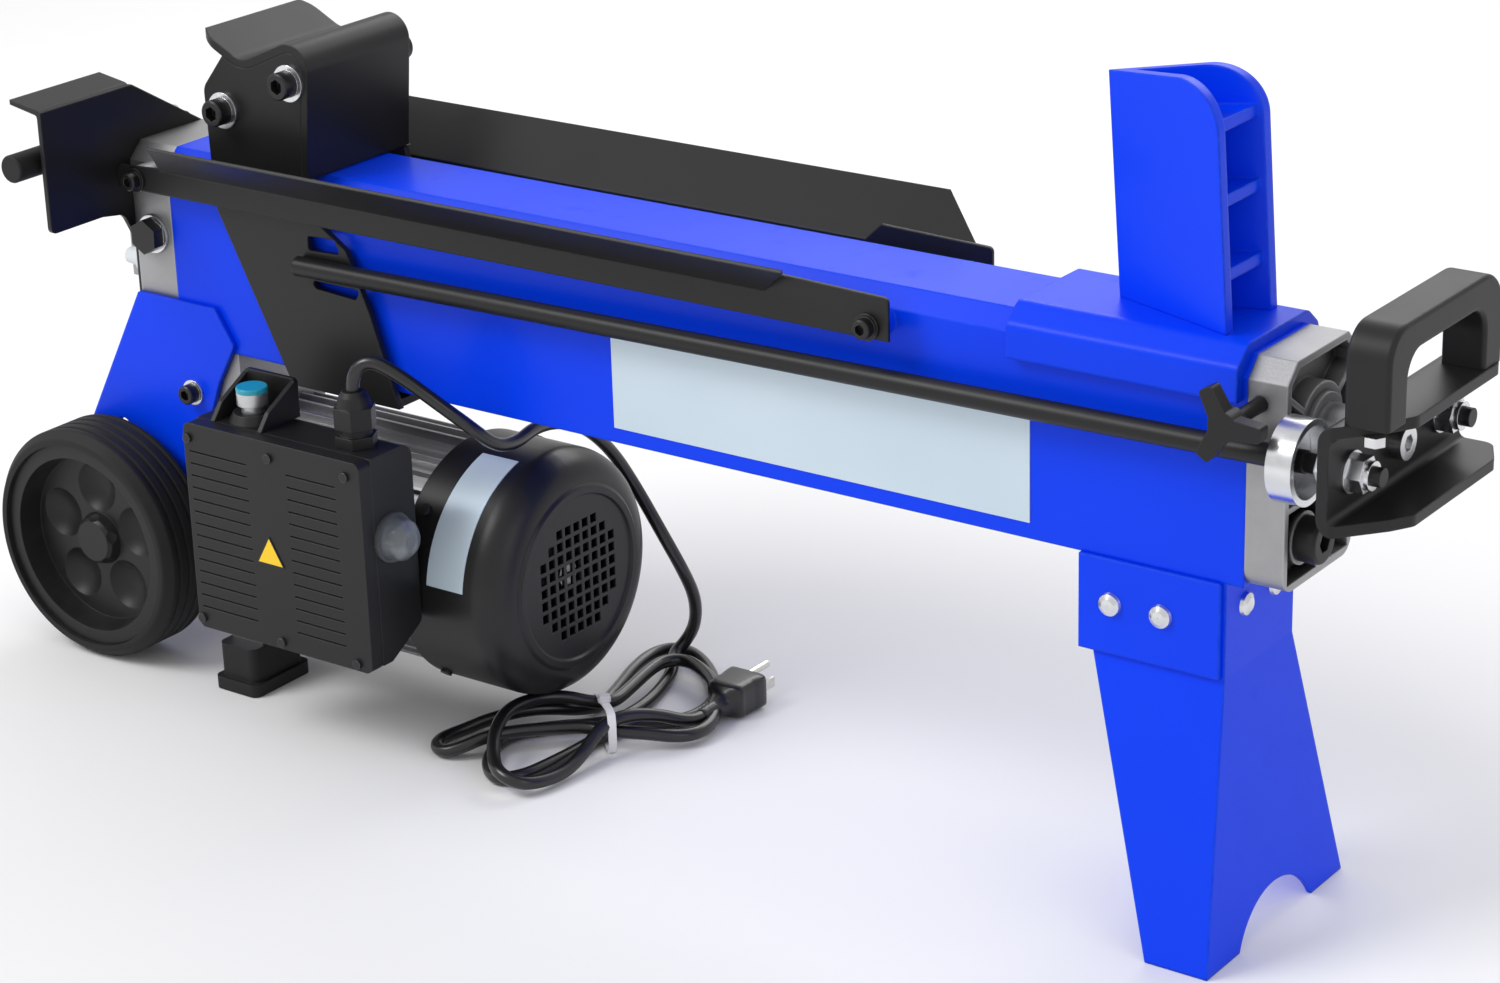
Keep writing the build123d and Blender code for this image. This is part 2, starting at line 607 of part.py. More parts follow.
def make_yoke_fasteners():
    pieces = []
    web = YOKE_X + YOKE_PLATE
    for y in (-PULL_ROD_Y, PULL_ROD_Y):
        at = (y, RAM_Z)
        hole = rod("x", JAM_X, web + 20, at, STUD_DIA / 2)
        pieces.append(prism("x", YOKE_X - 9, YOKE_X, at, NUT) - hole)
        nut = rod("x", web, web + 2, at, 11) + prism("x", web + 2, web + 10, at, NUT)
        nut += rod("x", web + 10, web + 13, at, 7.5)
        pieces.append(nut - hole)
    pieces.append(rod("x", web, web + 7, (0, RAM_Z), 9) - prism("x", web + 3, web + 7, (0, RAM_Z), 8))
    for y in (HANDLE_Y[0] + HANDLE_LEG / 2, HANDLE_Y[1] - HANDLE_LEG / 2):
        low = YOKE_TOP - YOKE_PLATE
        pieces.append(prism("z", low - 5, low, (HANDLE_X + HANDLE_DEPTH / 2, y), 10))
    return group(pieces)


def make_handle():
    near, far = HANDLE_Y
    under = HANDLE_TOP - HANDLE_BAR
    outer = [(near, YOKE_TOP), (near, HANDLE_TOP, 18), (far, HANDLE_TOP, 22), (far, YOKE_TOP),
             (far - HANDLE_LEG, YOKE_TOP), (far - HANDLE_LEG, under, 14),
             (near + HANDLE_LEG, under, 14), (near + HANDLE_LEG, YOKE_TOP)]
    body = slab(outer, "x", HANDLE_X, HANDLE_X + HANDLE_DEPTH)
    return fillet(body.edges().filter_by(Axis.Z), 2.5)


# ---- side rails ---------------------------------------------------------------------------
def rail(flare_end, tip_end):
    """A sheet with an upright, a flared top that ends in a slant, and a plain tab at the front end."""
    y, skin = -RAIL_Y - RAIL_PLATE / 2, RAIL_PLATE
    upright = [(RAIL_BACK_X, RAIL_LOW), (RAIL_END_X, RAIL_LOW), (RAIL_END_X, RAIL_BEND + 8, 3),
               (RAIL_END_X - 72, RAIL_BEND + 10), (RAIL_END_X - 83, RAIL_BEND),
               (RAIL_BACK_X + 34, RAIL_BEND), (RAIL_BACK_X, RAIL_BEND - 2, 3)]
    body = slab(upright, "y", y, y + skin)
    rise = RAIL_TIP - RAIL_BEND
    slope = hypot(rise, RAIL_FLARE)
    normal = (rise / slope * skin, RAIL_FLARE / slope * skin)
    inner_y = y + skin
    section = [(inner_y, RAIL_BEND), (inner_y - RAIL_FLARE, RAIL_TIP),
               (inner_y - RAIL_FLARE - normal[0], RAIL_TIP - normal[1]),
               (y, RAIL_BEND - 1.2)]
    flare = slab(section, "x", RAIL_BACK_X + 34, max(flare_end, tip_end))
    cut = slab([(RAIL_BACK_X + 34, inner_y + 1), (flare_end, inner_y + 1),
                (tip_end, inner_y - RAIL_FLARE - 3), (RAIL_BACK_X + 62, inner_y - RAIL_FLARE - 3)],
               "z", RAIL_LOW, RAIL_TIP + 2)
    return body + (flare & cut)


def make_side_rails():
    """The near rail's flare is cut back short of its tab; the far rail's runs out to the tab's end."""
    near = rail(RAIL_END_X - 83, RAIL_END_X - 41)
    far = rail(RAIL_END_X - 4, RAIL_END_X - 52)
    return group([near, mirrored(far)])


def make_socket_bolts():
    """The socket-head bolts that hold the side rails and the wheel brackets."""
    bolts = []
    seat = -RAIL_Y - RAIL_PLATE / 2
    for x in (RAIL_BOLT_X, RAIL_BACK_BOLT_X):
        bolts.append(socket_bolt_y(x, RAIL_BOLT_Z, seat, 5.5, 6.0, washer=7.5))
    bolts.append(socket_bolt_y(BACK_X + 41, BEAM_BOTTOM - 30, -HALF - BRACKET_PLATE, 6.0, 7.0, washer=8.0))
    return group(bolts + [mirrored(b) for b in bolts])


# ---- wheels and their bracket -------------------------------------------------------------
def make_wheel_brackets():
    top, low = BEAM_BOTTOM + 28, WHEEL_Z - 18
    plate = [(BACK_X, top), (BACK_X + 64, top, 3), (BACK_X + 78, BEAM_BOTTOM + 6, 3),
             (BACK_X + 63, BEAM_BOTTOM - 20, 4), (BACK_X + 34, WHEEL_Z + 38, 6), (WHEEL_X + 24, low, 8),
             (WHEEL_X - 20, low, 14), (WHEEL_X - 38, WHEEL_Z + 50, 12)]
    y = -HALF - BRACKET_PLATE
    body = slab(plate, "y", y, -HALF)
    body -= rod("y", y, -HALF, (WHEEL_X, WHEEL_Z), AXLE_DIA / 2)
    body -= rod("y", y, -HALF, (BACK_X - 23, BEAM_BOTTOM - 64), 5)
    return both(body)


def make_axle():
    reach = WHEEL_INNER_Y + 14
    return rod("y", -reach, reach, (WHEEL_X, WHEEL_Z), AXLE_DIA / 2)


def make_wheel():
    """The near wheel: a hub, a dished web with five lobes and a wide rim band."""
    outer = -WHEEL_INNER_Y - WHEEL_WIDTH
    inner = -WHEEL_INNER_Y
    at = (WHEEL_X, WHEEL_Z)
    rim = WHEEL_DIA / 2 - TYRE_WALL
    hub = WHEEL_HUB
    body = turned([(outer + 3, rim - 9), (outer + 3, rim), (inner - 1, rim), (inner - 1, rim - 5),
                   (inner - 14, rim - 7), (inner - 14, hub), (inner, hub), (inner, 0),
                   (outer + 10, 0), (outer + 10, hub - 2), (outer + 12, hub), (inner - WEB_OUTER, hub + 2),
                   (inner - WEB_OUTER, rim - 12)], "y", at)
    body -= rod("y", inner - 15, inner, at, AXLE_DIA / 2 + FIT)
    for k in range(LOBES):
        angle = radians(18 + 360 / LOBES * k)
        x, z = at[0] + LOBE_REACH * cos(angle), at[1] + LOBE_REACH * sin(angle)
        middle = inner - WEB_OUTER + LOBE_DEPTH - LOBE_RADIUS
        body -= Pos(x, middle, z) * Sphere(LOBE_RADIUS)
    return body


def make_tyre():
    outer = -WHEEL_INNER_Y - WHEEL_WIDTH
    inner = -WHEEL_INNER_Y
    rim, radius = WHEEL_DIA / 2 - TYRE_WALL, WHEEL_DIA / 2
    profile = [(inner, rim), (outer, rim), (outer, radius - 5, 3), (outer + 6, radius, 3)]
    for k in range(GROOVES):
        at = outer + 9 + 8 * k
        profile += [(at, radius), (at + 0.8, radius - 1.8), (at + 2.2, radius - 1.8), (at + 3, radius)]
    profile += [(inner - 3, radius, 2), (inner, radius - 4, 2)]
    return turned(profile, "y", (WHEEL_X, WHEEL_Z))


# ---- leg ----------------------------------------------------------------------------------
def leg_level(z, x, half, inset, back):
    """A level outline of the leg, drawn smaller by inset and longer towards -X by back."""
    start, end = x[0] - back, x[1] - inset
    plan = Plane((0, 0, z))
    return plan * Pos((start + end) / 2, 0) * Rectangle(end - start, 2 * (half - inset))


def make_leg():
    """A folded sheet, open towards the wheels, straight in its collar and splayed below it."""
    top, bend = BEAM_BOTTOM, BEAM_BOTTOM - COLLAR_HEIGHT
    half = HALF - 0.4
    body = None
    for inset, back in ((0, 0), (LEG_PLATE, 20)):
        low = 0 if inset == 0 else -1
        lower = loft([leg_level(low, LEG_FOOT_X, LEG_FOOT_HALF, inset, back),
                      leg_level(bend, LEG_TOP_X, half, inset, back)], ruled=True)
        upper = loft([leg_level(bend, LEG_TOP_X, half, inset, back),
                      leg_level(top, LEG_TOP_X, half, inset, back)], ruled=True)
        whole = lower + upper
        body = whole if body is None else body - whole
    return body - rod("x", -60, 60, (0, -21), LEG_ARCH)


def make_leg_collar():
    low = BEAM_BOTTOM - COLLAR_HEIGHT
    ears = box(COLLAR_X, (-COLLAR_HALF, COLLAR_HALF), (low, BEAM_BOTTOM))
    return ears - box(COLLAR_X, (-HALF + 0.4, HALF - 0.4), (low, BEAM_BOTTOM))


def make_leg_bolts():
    """Domed bolt heads, two on each side and one on the leg's front face."""
    pieces = []
    half = COLLAR_HALF
    for x in (COLLAR_X[0] + 19, COLLAR_X[0] + 49):
        dome = turned([(-half - 4, 0), (-half - 3.4, 3.5), (-half - 2, 6), (-half, 6.8), (-half, 0)],
                      "y", (x, BEAM_BOTTOM - 25))
        pieces += [dome, mirrored(dome)]
    x = LEG_TOP_X[1]
    dome = turned([(x, 0), (x, 6.8), (x + 2, 6), (x + 3.4, 3.5), (x + 4, 0)], "x", (-16, BEAM_BOTTOM - 18))
    return group(pieces + [dome, mirrored(dome)])


# ---- motor and pump -----------------------------------------------------------------------
def make_motor_housing():
    at = (0, MOTOR_Z)
    body = rod("x", MOTOR_BACK_X, MOTOR_FRONT_X, at, MOTOR_RADIUS)
    fin = box((MOTOR_BACK_X + 3, MOTOR_FRONT_X), (MOTOR_RADIUS - 2, MOTOR_RADIUS + FIN_HEIGHT), (-1.2, 1.2))
    for k in range(FINS):
        body += Pos(0, 0, MOTOR_Z) * Rot(360 / FINS * k, 0, 0) * fin
    body += box((BOX_X[0] + 14, MOTOR_FRONT_X - 8), (BOX_BACK_Y, -MOTOR_RADIUS + 22),
                (MOTOR_Z - 18, MOTOR_Z + 24))
    body -= rod("x", MOTOR_BACK_X + 8, MOTOR_FRONT_X, at, MOTOR_RADIUS - MOTOR_WALL)
    body -= rod("x", MOTOR_BACK_X, MOTOR_BACK_X + 8, at, SHAFT_DIA / 2 + 2)
    return body


def make_fan_cover():
    """A pressed cup with a rounded end, a raised ring and a grille of square holes."""
    start, end, radius = MOTOR_FRONT_X + CLEAR, FAN_COVER_END_X, FAN_COVER_RADIUS
    skin = FAN_COVER_SKIN
    inner_end = end - skin
    profile = [(start, radius - skin), (start, radius), (end, radius, 20), (end, 57), (end + 1.6, 55),
               (end + 1.6, 51), (end, 50), (end, 0), (inner_end, 0), (inner_end, radius - skin, 18)]
    body = turned(profile, "x", (0, MOTOR_Z))
    pitch, hole, reach = 8.0, 5.6, 41.0
    steps = int(reach / pitch)
    holes = []
    for i in range(-steps, steps + 1):
        for j in range(-steps, steps + 1):
            y, z = i * pitch, j * pitch
            if hypot(y, z) < reach - 3:
                holes.append(box((inner_end - 1, end + 1), (y - hole / 2, y + hole / 2),
                                 (MOTOR_Z + z - hole / 2, MOTOR_Z + z + hole / 2)))
    return body - holes


def make_rotor():
    at = (0, MOTOR_Z)
    shaft = rod("x", GEAR_X - 4, FAN_COVER_END_X - 8, at, SHAFT_DIA / 2)
    core = rod("x", MOTOR_BACK_X + 30, MOTOR_FRONT_X - 18, at, MOTOR_RADIUS - 22)
    return shaft + core


def make_cooling_fan():
    at = (0, MOTOR_Z)
    start = MOTOR_FRONT_X + 18
    body = rod("x", start, start + 3, at, FAN_COVER_RADIUS - 10) + rod("x", start, start + 30, at, 16)
    blade = box((start, start + 30), (12, FAN_COVER_RADIUS - 12), (-1, 1))
    for k in range(FAN_BLADES):
        body += Pos(0, 0, MOTOR_Z) * Rot(360 / FAN_BLADES * k, 0, 0) * blade
    return body - rod("x", start, start + 30, at, SHAFT_DIA / 2)


def gear(at, turn, bore):
    """A spur gear with plain trapezoid teeth."""
    outer = GEAR_OUTER
    root = GEAR_MODULE * (GEAR_TEETH / 2 - 1.2)
    step = 360 / GEAR_TEETH
    wide = GEAR_MODULE * 1.1
    tooth = extrude(Plane((GEAR_X, 0, 0), x_dir=(0, 1, 0), z_dir=(1, 0, 0)) * outline(
        [(root - 1, -wide), (outer, -GEAR_MODULE * 0.36), (outer, GEAR_MODULE * 0.36), (root - 1, wide)]),
        GEAR_WIDTH)
    body = rod("x", GEAR_X, GEAR_X + GEAR_WIDTH, (0, 0), root)
    for k in range(GEAR_TEETH):
        body += Rot(step * k + turn, 0, 0) * tooth
    body = Pos(0, *at) * body
    return body - rod("x", GEAR_X, GEAR_X + GEAR_WIDTH, at, bore) if bore else body


def make_drive_gear():
    return gear((0, MOTOR_Z), 90, SHAFT_DIA / 2)


def make_driven_gear():
    at = (0, MOTOR_Z + GEAR_GAP)
    body = gear(at, 90 + 180 / GEAR_TEETH, 0)
    return body + rod("x", GEAR_X - 6, GEAR_X + GEAR_WIDTH + 8, at, IDLER_RADIUS)


def make_pump_body():
    """The cast block between the motor and the beam, with the gear chamber inside it."""
    top = (0, MOTOR_Z + GEAR_GAP)
    body = slab([(-34, MOTOR_Z - 34, 14), (34, MOTOR_Z - 34, 14), (HALF - 0.4, BEAM_BOTTOM - 60, 8),
                 (HALF - 0.4, BEAM_BOTTOM), (-HALF + 0.4, BEAM_BOTTOM), (-HALF + 0.4, BEAM_BOTTOM - 60, 8)],
                "x", *PUMP_X)
    for at in ((0, MOTOR_Z), top):
        body -= rod("x", GEAR_X - 0.3, GEAR_X + GEAR_WIDTH + 0.3, at, GEAR_OUTER + 0.3)
    body -= rod("x", GEAR_X - 6, PUMP_X[1], (0, MOTOR_Z), SHAFT_DIA / 2 + FIT)
    return body - rod("x", GEAR_X - 6.3, GEAR_X + GEAR_WIDTH + 8.3, top, IDLER_RADIUS + FIT)


def make_motor_foot():
    """A rubber foot on a pressed neck under the switch box."""
    x, y = FOOT_X, FOOT_Y
    foot = slab([(x[0], y[0], 5), (x[1], y[0], 5), (x[1], y[1], 5), (x[0], y[1], 5)], "z", 0, 8)
    foot += slab([(x[0] + 3, y[0] + 3, 5), (x[1] - 3, y[0] + 3, 5), (x[1] - 3, y[1] - 3, 5),
                  (x[0] + 3, y[1] - 3, 5)], "z", 8, FOOT_HEIGHT)
    return foot


def make_foot_neck():
    """The steel strut from the rubber foot up to the motor housing."""
    y = (FOOT_Y[0] + 14, FOOT_Y[1] - 10)
    reach = sqrt(MOTOR_RADIUS ** 2 - (sum(y) / 2) ** 2)
    post = box((FOOT_X[0] + 5, FOOT_X[1] - 5), y, (FOOT_HEIGHT, MOTOR_Z - reach + 8))
    return post - rod("x", *FOOT_X, (0, MOTOR_Z), MOTOR_RADIUS + FIN_HEIGHT + 0.02)


# ---- switch box ---------------------------------------------------------------------------
def make_switch_box():
    x, z = BOX_X, BOX_Z
    front = BOX_FACE_Y + BOX_COVER
    section = [(front, z[0] + 2), (front, z[1]), (BOX_BACK_Y, z[1], 9),
               (BOX_BACK_Y, z[0] + 18, 6), (front + 8, z[0] + 2, 3)]
    body = slab(section, "x", x[0] + 2, x[1])
    wall = BOX_WALL
    inside = slab([(front, z[0] + 2 + wall), (front, z[1] - wall), (BOX_BACK_Y - wall, z[1] - wall, 6),
                   (BOX_BACK_Y - wall, z[0] + 18 + wall / 2), (front + 8, z[0] + 2 + wall)],
                  "x", x[0] + 2 + wall, x[1] - wall)
    body -= inside
    body -= rod("z", z[1] - 4, z[1] + 1, (BUTTON_X, BUTTON_Y), BUTTON_STEM + 0.3)
    body -= rod("x", x[1] - 4, x[1] + 1, (RESET_Y, RESET_Z), RESET_RADIUS + 0.3)
    return body - rod("z", z[1] - 4, z[1] + 1, (GLAND_X, GLAND_Y), 8)


def make_box_cover():
    x, z = BOX_X, BOX_Z
    back = BOX_FACE_Y + BOX_COVER
    plate = slab([(x[0], z[0], 5), (x[1], z[0], 5), (x[1], z[1], 5), (x[0], z[1], 5)], "y", BOX_FACE_Y, back)
    plate -= box((x[0] + 4, x[1] - 4), (BOX_FACE_Y + 4, back), (z[0] + 4, z[1] - 4))
    for first, last in ((x[0] + 4, x[0] + 49), (x[0] + 80, x[1] - 19)):
        for k in range(BOX_SLOTS):
            height = z[1] - 17 - 7.6 * k
            plate -= box((first, last), (BOX_FACE_Y, BOX_FACE_Y + 1.4), (height - 1.1, height))
    return plate


def make_housing_screws():
    """The box cover's screws and the fan cover's screws, all with cross-slotted pan heads."""
    pieces = []
    for dx, dz in BOX_SCREWS:
        z = (BOX_Z[1] if dz < 0 else BOX_Z[0]) + dz
        pieces.append(rod("y", BOX_FACE_Y - 1.6, BOX_FACE_Y, (BOX_X[0] + dx, z), 2.9))
    for angle in (50, 140, 230, 320):
        seat = Plane((MOTOR_FRONT_X + 10, FAN_COVER_RADIUS - 0.3, 0), z_dir=(0, 1, 0))
        head = Solid.make_cylinder(3.6, 2.4, seat)
        pieces.append(Pos(0, 0, MOTOR_Z) * Rot(angle, 0, 0) * head
                      - rod("x", MOTOR_FRONT_X, FAN_COVER_END_X - 22, (0, MOTOR_Z), FAN_COVER_RADIUS))
    return group(pieces)


def make_switch_button():
    top = BOX_Z[1] + 21
    at = (BUTTON_X, BUTTON_Y)
    cap = turned([(BOX_Z[1] + 10, 0), (BOX_Z[1] + 10, BUTTON_RADIUS - 0.6), (top, BUTTON_RADIUS - 0.6, 1),
                  (top, 0)], "z", at)
    return cap + rod("z", BOX_Z[1] - 8, BOX_Z[1] + 10, at, BUTTON_STEM)


def make_button_guard():
    """The collar round the button's neck, with a fin on either side to keep it from a knock."""
    z = BOX_Z[1]
    collar = turned([(z, BUTTON_STEM + 0.3), (z, BUTTON_RADIUS + 5), (z + 5.5, BUTTON_RADIUS + 2),
                     (z + 5.5, BUTTON_STEM + 0.3)], "z", (BUTTON_X, BUTTON_Y))
    fin = [(BUTTON_Y - 16, z), (BUTTON_Y + 18, z), (BUTTON_Y + 18, z + 24, 3), (BUTTON_Y - 8, z + 10, 3)]
    right = slab(fin, "x", BUTTON_X + 17, BUTTON_X + 20)
    left = slab(fin, "x", BUTTON_X - 20, BUTTON_X - 17)
    wall = slab([(BUTTON_X - 20, z), (BUTTON_X + 20, z), (BUTTON_X + 20, z + 24, 3),
                 (BUTTON_X - 20, z + 24, 3)], "y", BUTTON_Y + 15, BUTTON_Y + 18)
    return group([collar, right + left + wall])


def make_reset_boot():
    """The clear domed boot over the overload reset button."""
    x = BOX_X[1]
    return turned([(x, 8), (x, 15), (x + 3, 15, 1), (x + 3, 13), (x + 11, 12, 4), (x + 16, 7, 3),
                   (x + 16, 0), (x + 14.5, 0), (x + 14.5, 6, 2), (x + 10, 10.4, 3), (x + 2, 11),
                   (x + 2, 8)], "x", (RESET_Y, RESET_Z))


def make_reset_button():
    x = BOX_X[1]
    at = (RESET_Y, RESET_Z)
    return rod("x", x - 6, x + 10, at, RESET_RADIUS) + rod("x", x - 8, x - 6, at, RESET_RADIUS + 3)


def make_cord_gland():
    at = (GLAND_X, GLAND_Y)
    z = BOX_Z[1]
    body = prism("z", z, z + 7, at, GLAND_NUT) + rod("z", z + 7, z + 11, at, 9.5)
    nut = prism("z", z + 11, z + 24, at, GLAND_NUT)
    nose = turned([(z + 24, 0), (z + 24, 10.5), (z + GLAND_HEIGHT - 3, 8.5, 2), (z + GLAND_HEIGHT, 6.5),
                   (z + GLAND_HEIGHT, 0)], "z", at)
    body = body + nut + nose + rod("z", z - 4, z, at, 8)
    return body - rod("z", z - 4, z + GLAND_HEIGHT, at, CORD_DIA / 2)


# ---- control lever, its guard and the valve -----------------------------------------------
def make_lever_guard():
    """A sheet across the back end, with a flange that is bent back over the lever."""
    x = BACK_X - GUARD_PLATE
    top, foot, low = GUARD_TOP, GUARD_TOP - 75, BEAM_BOTTOM + 25
    plate = [(-106, top), (-106, foot, 4), (-64, foot), (-46, foot - 3, 8), (-36, foot - 23, 8),
             (-36, low), (VALVE_Y[0] - 1, low), (VALVE_Y[0] - 1, VALVE_TOP + 8), (28, VALVE_TOP + 3),
             (36, VALVE_TOP + 13), (-30, top)]
    body = slab(plate, "x", x, BACK_X) - rod("x", x, BACK_X, RELIEF_AT, RELIEF_THREAD)
    depth, rise = GUARD_LIP, 4.0
    flange = slab([(x, top - 5), (BACK_X, top - 5), (BACK_X, top + 1, 5), (x - depth, top + 1 + rise),
                   (x - depth, top - 2 + rise), (x, top - 2, 2)], "y", -106, -32)
    return body + flange


def make_valve_block():
    """The control valve on the rear cover, with the lever's pivot stud."""
    x = BACK_X
    body = box((x - 30, x), VALVE_Y, (VALVE_LOW, VALVE_TOP))
    body -= rod("z", VALVE_LOW + 8, VALVE_TOP, (SPOOL_X, SPOOL_Y), SPOOL_RADIUS + FIT)
    y = LEVER_PIVOT_Y
    post = slab([(y + 3, VALVE_TOP), (y + 15, VALVE_TOP), (y + 8, LEVER_Z + 6, 5),
                 (y - 6, LEVER_Z + 6, 5), (y - 6, LEVER_Z - 8)], "x", x - 8, x - 4)
    stud = rod("x", LEVER_X - 9, x - 4, (LEVER_PIVOT_Y, LEVER_Z), LEVER_STUD)
    return body + post + stud


def make_relief_cap():
    seat = BACK_X - GUARD_PLATE
    return turned([(seat - 17, 0), (seat - 17, 5, 2), (seat - 3, 6.2), (seat - 3, 9), (seat, 9),
                   (seat, RELIEF_THREAD), (BACK_X, RELIEF_THREAD), (BACK_X, 0)], "x", RELIEF_AT)


def make_control_lever():
    """The bar from the pivot along the machine's width, and its eye."""
    at = (LEVER_X, LEVER_Z)
    bar = rod("y", GRIP_END_Y + 6, LEVER_PIVOT_Y - 6, at, LEVER_RADIUS)
    eye = rod("x", LEVER_X - 5, LEVER_X + 5, (LEVER_PIVOT_Y, LEVER_Z), 10)
    toe = box((LEVER_X - 4, LEVER_X + 4), (SPOOL_Y - 3, SPOOL_Y + 3), (LEVER_Z - 9, LEVER_Z - 2))
    return bar + eye + toe - rod("x", LEVER_X - 9, LEVER_X + 9, (LEVER_PIVOT_Y, LEVER_Z), LEVER_STUD + FIT)


def make_lever_grip():
    at, end = (LEVER_X, LEVER_Z), GRIP_END_Y + GRIP_LENGTH
    grip = turned([(GRIP_END_Y, 0), (GRIP_END_Y, GRIP_RADIUS, 1.5), (end, GRIP_RADIUS, 2), (end, 0)], "y", at)
    return grip - rod("y", GRIP_END_Y + 6, end, at, LEVER_RADIUS)


def make_valve_spool():
    at = (SPOOL_X, SPOOL_Y)
    top = LEVER_Z - 9 - CLEAR
    shoulder = VALVE_TOP + 2
    return rod("z", VALVE_LOW + 20, shoulder, at, SPOOL_RADIUS) + rod("z", shoulder, top, at, 4)


# ---- bleed screw, dipstick and plates -----------------------------------------------------
def make_bleed_knob():
    at = (KNOB_X, KNOB_Z)
    back, front = KNOB_Y, KNOB_Y - KNOB_THICK
    body = rod("y", front, -HALF + KNOB_HOLE - 1, at, KNOB_SHANK)
    body += rod("y", front, back + 3, at, 8)
    wing = slab([(-5.5, 0), (-4, KNOB_REACH, 2), (4, KNOB_REACH, 2), (5.5, 0)], "y", front, back)
    for angle in (-28, 92, 212):
        body += Pos(KNOB_X, 0, KNOB_Z) * Rot(0, angle, 0) * wing
    return body


def make_dipstick():
    face = FRONT_COVER
    at = (DIP_Y, DIP_Z)
    head = turned([(face + 0.3, 0), (face + 0.3, DIP_RADIUS), (face + 12, DIP_RADIUS, 2), (face + 12, 0)],
                  "x", at)
    head -= prism("x", face + 6, face + 12, at, 10)
    return head + rod("x", 2, face + 0.3, at, DIP_THREAD) + rod("x", -DIP_LENGTH, 2, at, 2)


def make_labels():
    """The plain plates on the beam's near side and the fan cover, and the warning triangle."""
    side = box(PLATE_X, (-HALF - PLATE_THICK, -HALF), PLATE_Z)
    start = MOTOR_FRONT_X + 22
    inner, outer = FAN_COVER_RADIUS, FAN_COVER_RADIUS + PLATE_THICK
    arc = turned([(start, inner), (start, outer), (start + 27, outer), (start + 27, inner)],
                 "x", (0, MOTOR_Z))
    keep = slab([(0, MOTOR_Z), (-140, MOTOR_Z + 18), (-140, MOTOR_Z + 160), (-40, MOTOR_Z + 160)],
                "x", start - 1, start + 28)
    middle, low, high = BOX_X[0] + 63, BOX_Z[0] + 52.5, BOX_Z[0] + 71
    warning = slab([(middle - 11, low, 0.8), (middle + 11, low, 0.8), (middle, high, 0.8)], "y",
                   BOX_FACE_Y - 0.5, BOX_FACE_Y)
    return group([side, arc & keep, warning])


# ---- power cord ---------------------------------------------------------------------------
# The route is given from the middle of the gland: X, Y and the height above the floor.
CORD_ROUTE = [
    (0, 0, 228), (0, 0, 238), (9, 5, 247), (25, 10, 240), (45, 21, 222), (57, 35, 205), (60, 52, 189),
    (58, 73, 184), (52, 98, 185), (50, 123, 180), (48, 149, 168), (49, 173, 145), (56, 186, 118),
    (74, 187, 91), (85, 193, 66), (86, 202, 46), (82, 207, 27), (76, 205, 14), (71, 196, 6),
]


def cord_points():
    lift = CORD_EXIT_Z - CORD_ROUTE[0][2]
    return [(GLAND_X + x, GLAND_Y + y, z + lift) for x, y, z in CORD_ROUTE]


def make_power_cord():
    """Straight runs joined by arcs as large as the runs allow."""
    points = [Vector(*p) for p in cord_points()]
    radii = []
    for i in range(1, len(points) - 1):
        back, ahead = points[i] - points[i - 1], points[i + 1] - points[i]
        half_turn = radians(back.get_angle(ahead)) / 2
        radii.append(0.45 * min(back.length, ahead.length) / tan(half_turn))
    path = FilletPolyline(*points, radius=radii)
    section = Plane(points[0], z_dir=points[1] - points[0]) * Circle(CORD_DIA / 2)
    tube = sweep(section, path=path)
    print("cord radii", [round(r) for r in radii])
    print("cord length", round(path.length), "volume ratio",
          round(tube.volume / (path.length * pi * CORD_DIA ** 2 / 4), 3))
    return tube


# The hank's outline on the floor, from the middle of its tie.
HANK_OUTLINE = [
    (-65, -88, 11), (-58, -46, 12), (-38, -13, 12), (-28, 12, 10), (-34, 36, 14), (-50, 92, 14),
    (-36, 118, 16), (-8, 110, 16), (16, 88, 16), (50, 54, 14), (62, 28, 12), (58, 8, 14),
    (22, -16, 12), (22, -52, 12), (26, -92, 11), (18, -114, 10), (-2, -110, 10), (-16, -72, 8),
    (-38, -90, 12),
]


def hank_place(x, y):
    return GLAND_X + HANK_AT[0] + x, GLAND_Y + HANK_AT[1] + y


def make_cord_hank():
    corners = [(*hank_place(x, y), r) for x, y, r in HANK_OUTLINE]
    return slab(corners, "z", 0.3, HANK_HEIGHT)


def make_cord_tie():
    """A band round the hank's waist."""
    x, y = hank_place(0, 0)
    turn = Pos(x, y, 0) * Rot(0, 0, TIE_TURN)
    band = turn * box((-TIE_HALF, TIE_HALF), (-2, 2), (0.2, HANK_HEIGHT + 1.2))
    return band - make_cord_hank()


def make_plug():
    """A moulded plug that lies beside the hank, on the neck that its cord runs into."""
    x, y = hank_place(*PLUG_AT)
    neck = turned([(y - 22, 0), (y - 22, 5), (y, 9), (y, 0)], "y", (x, PLUG_AXIS_Z))
    body = slab([(x - 13, y, 3), (x + 13, y, 3), (x + 14, y + PLUG_LENGTH, 3),
                 (x - 14, y + PLUG_LENGTH, 3)], "z", 0.4, 22)
    return body + neck


def make_plug_pins():
    x, y = hank_place(*PLUG_AT)
    face = y + PLUG_LENGTH
    pins = [rod("y", face, face + PIN_LENGTH + 2, (x, PLUG_AXIS_Z + 9), 2.4)]
    for side in (-6.3, 6.3):
        pins.append(box((x + side - 0.8, x + side + 0.8), (face, face + PIN_LENGTH),
                        (PLUG_AXIS_Z - 3.4, PLUG_AXIS_Z + 3)))
    return group(pins)


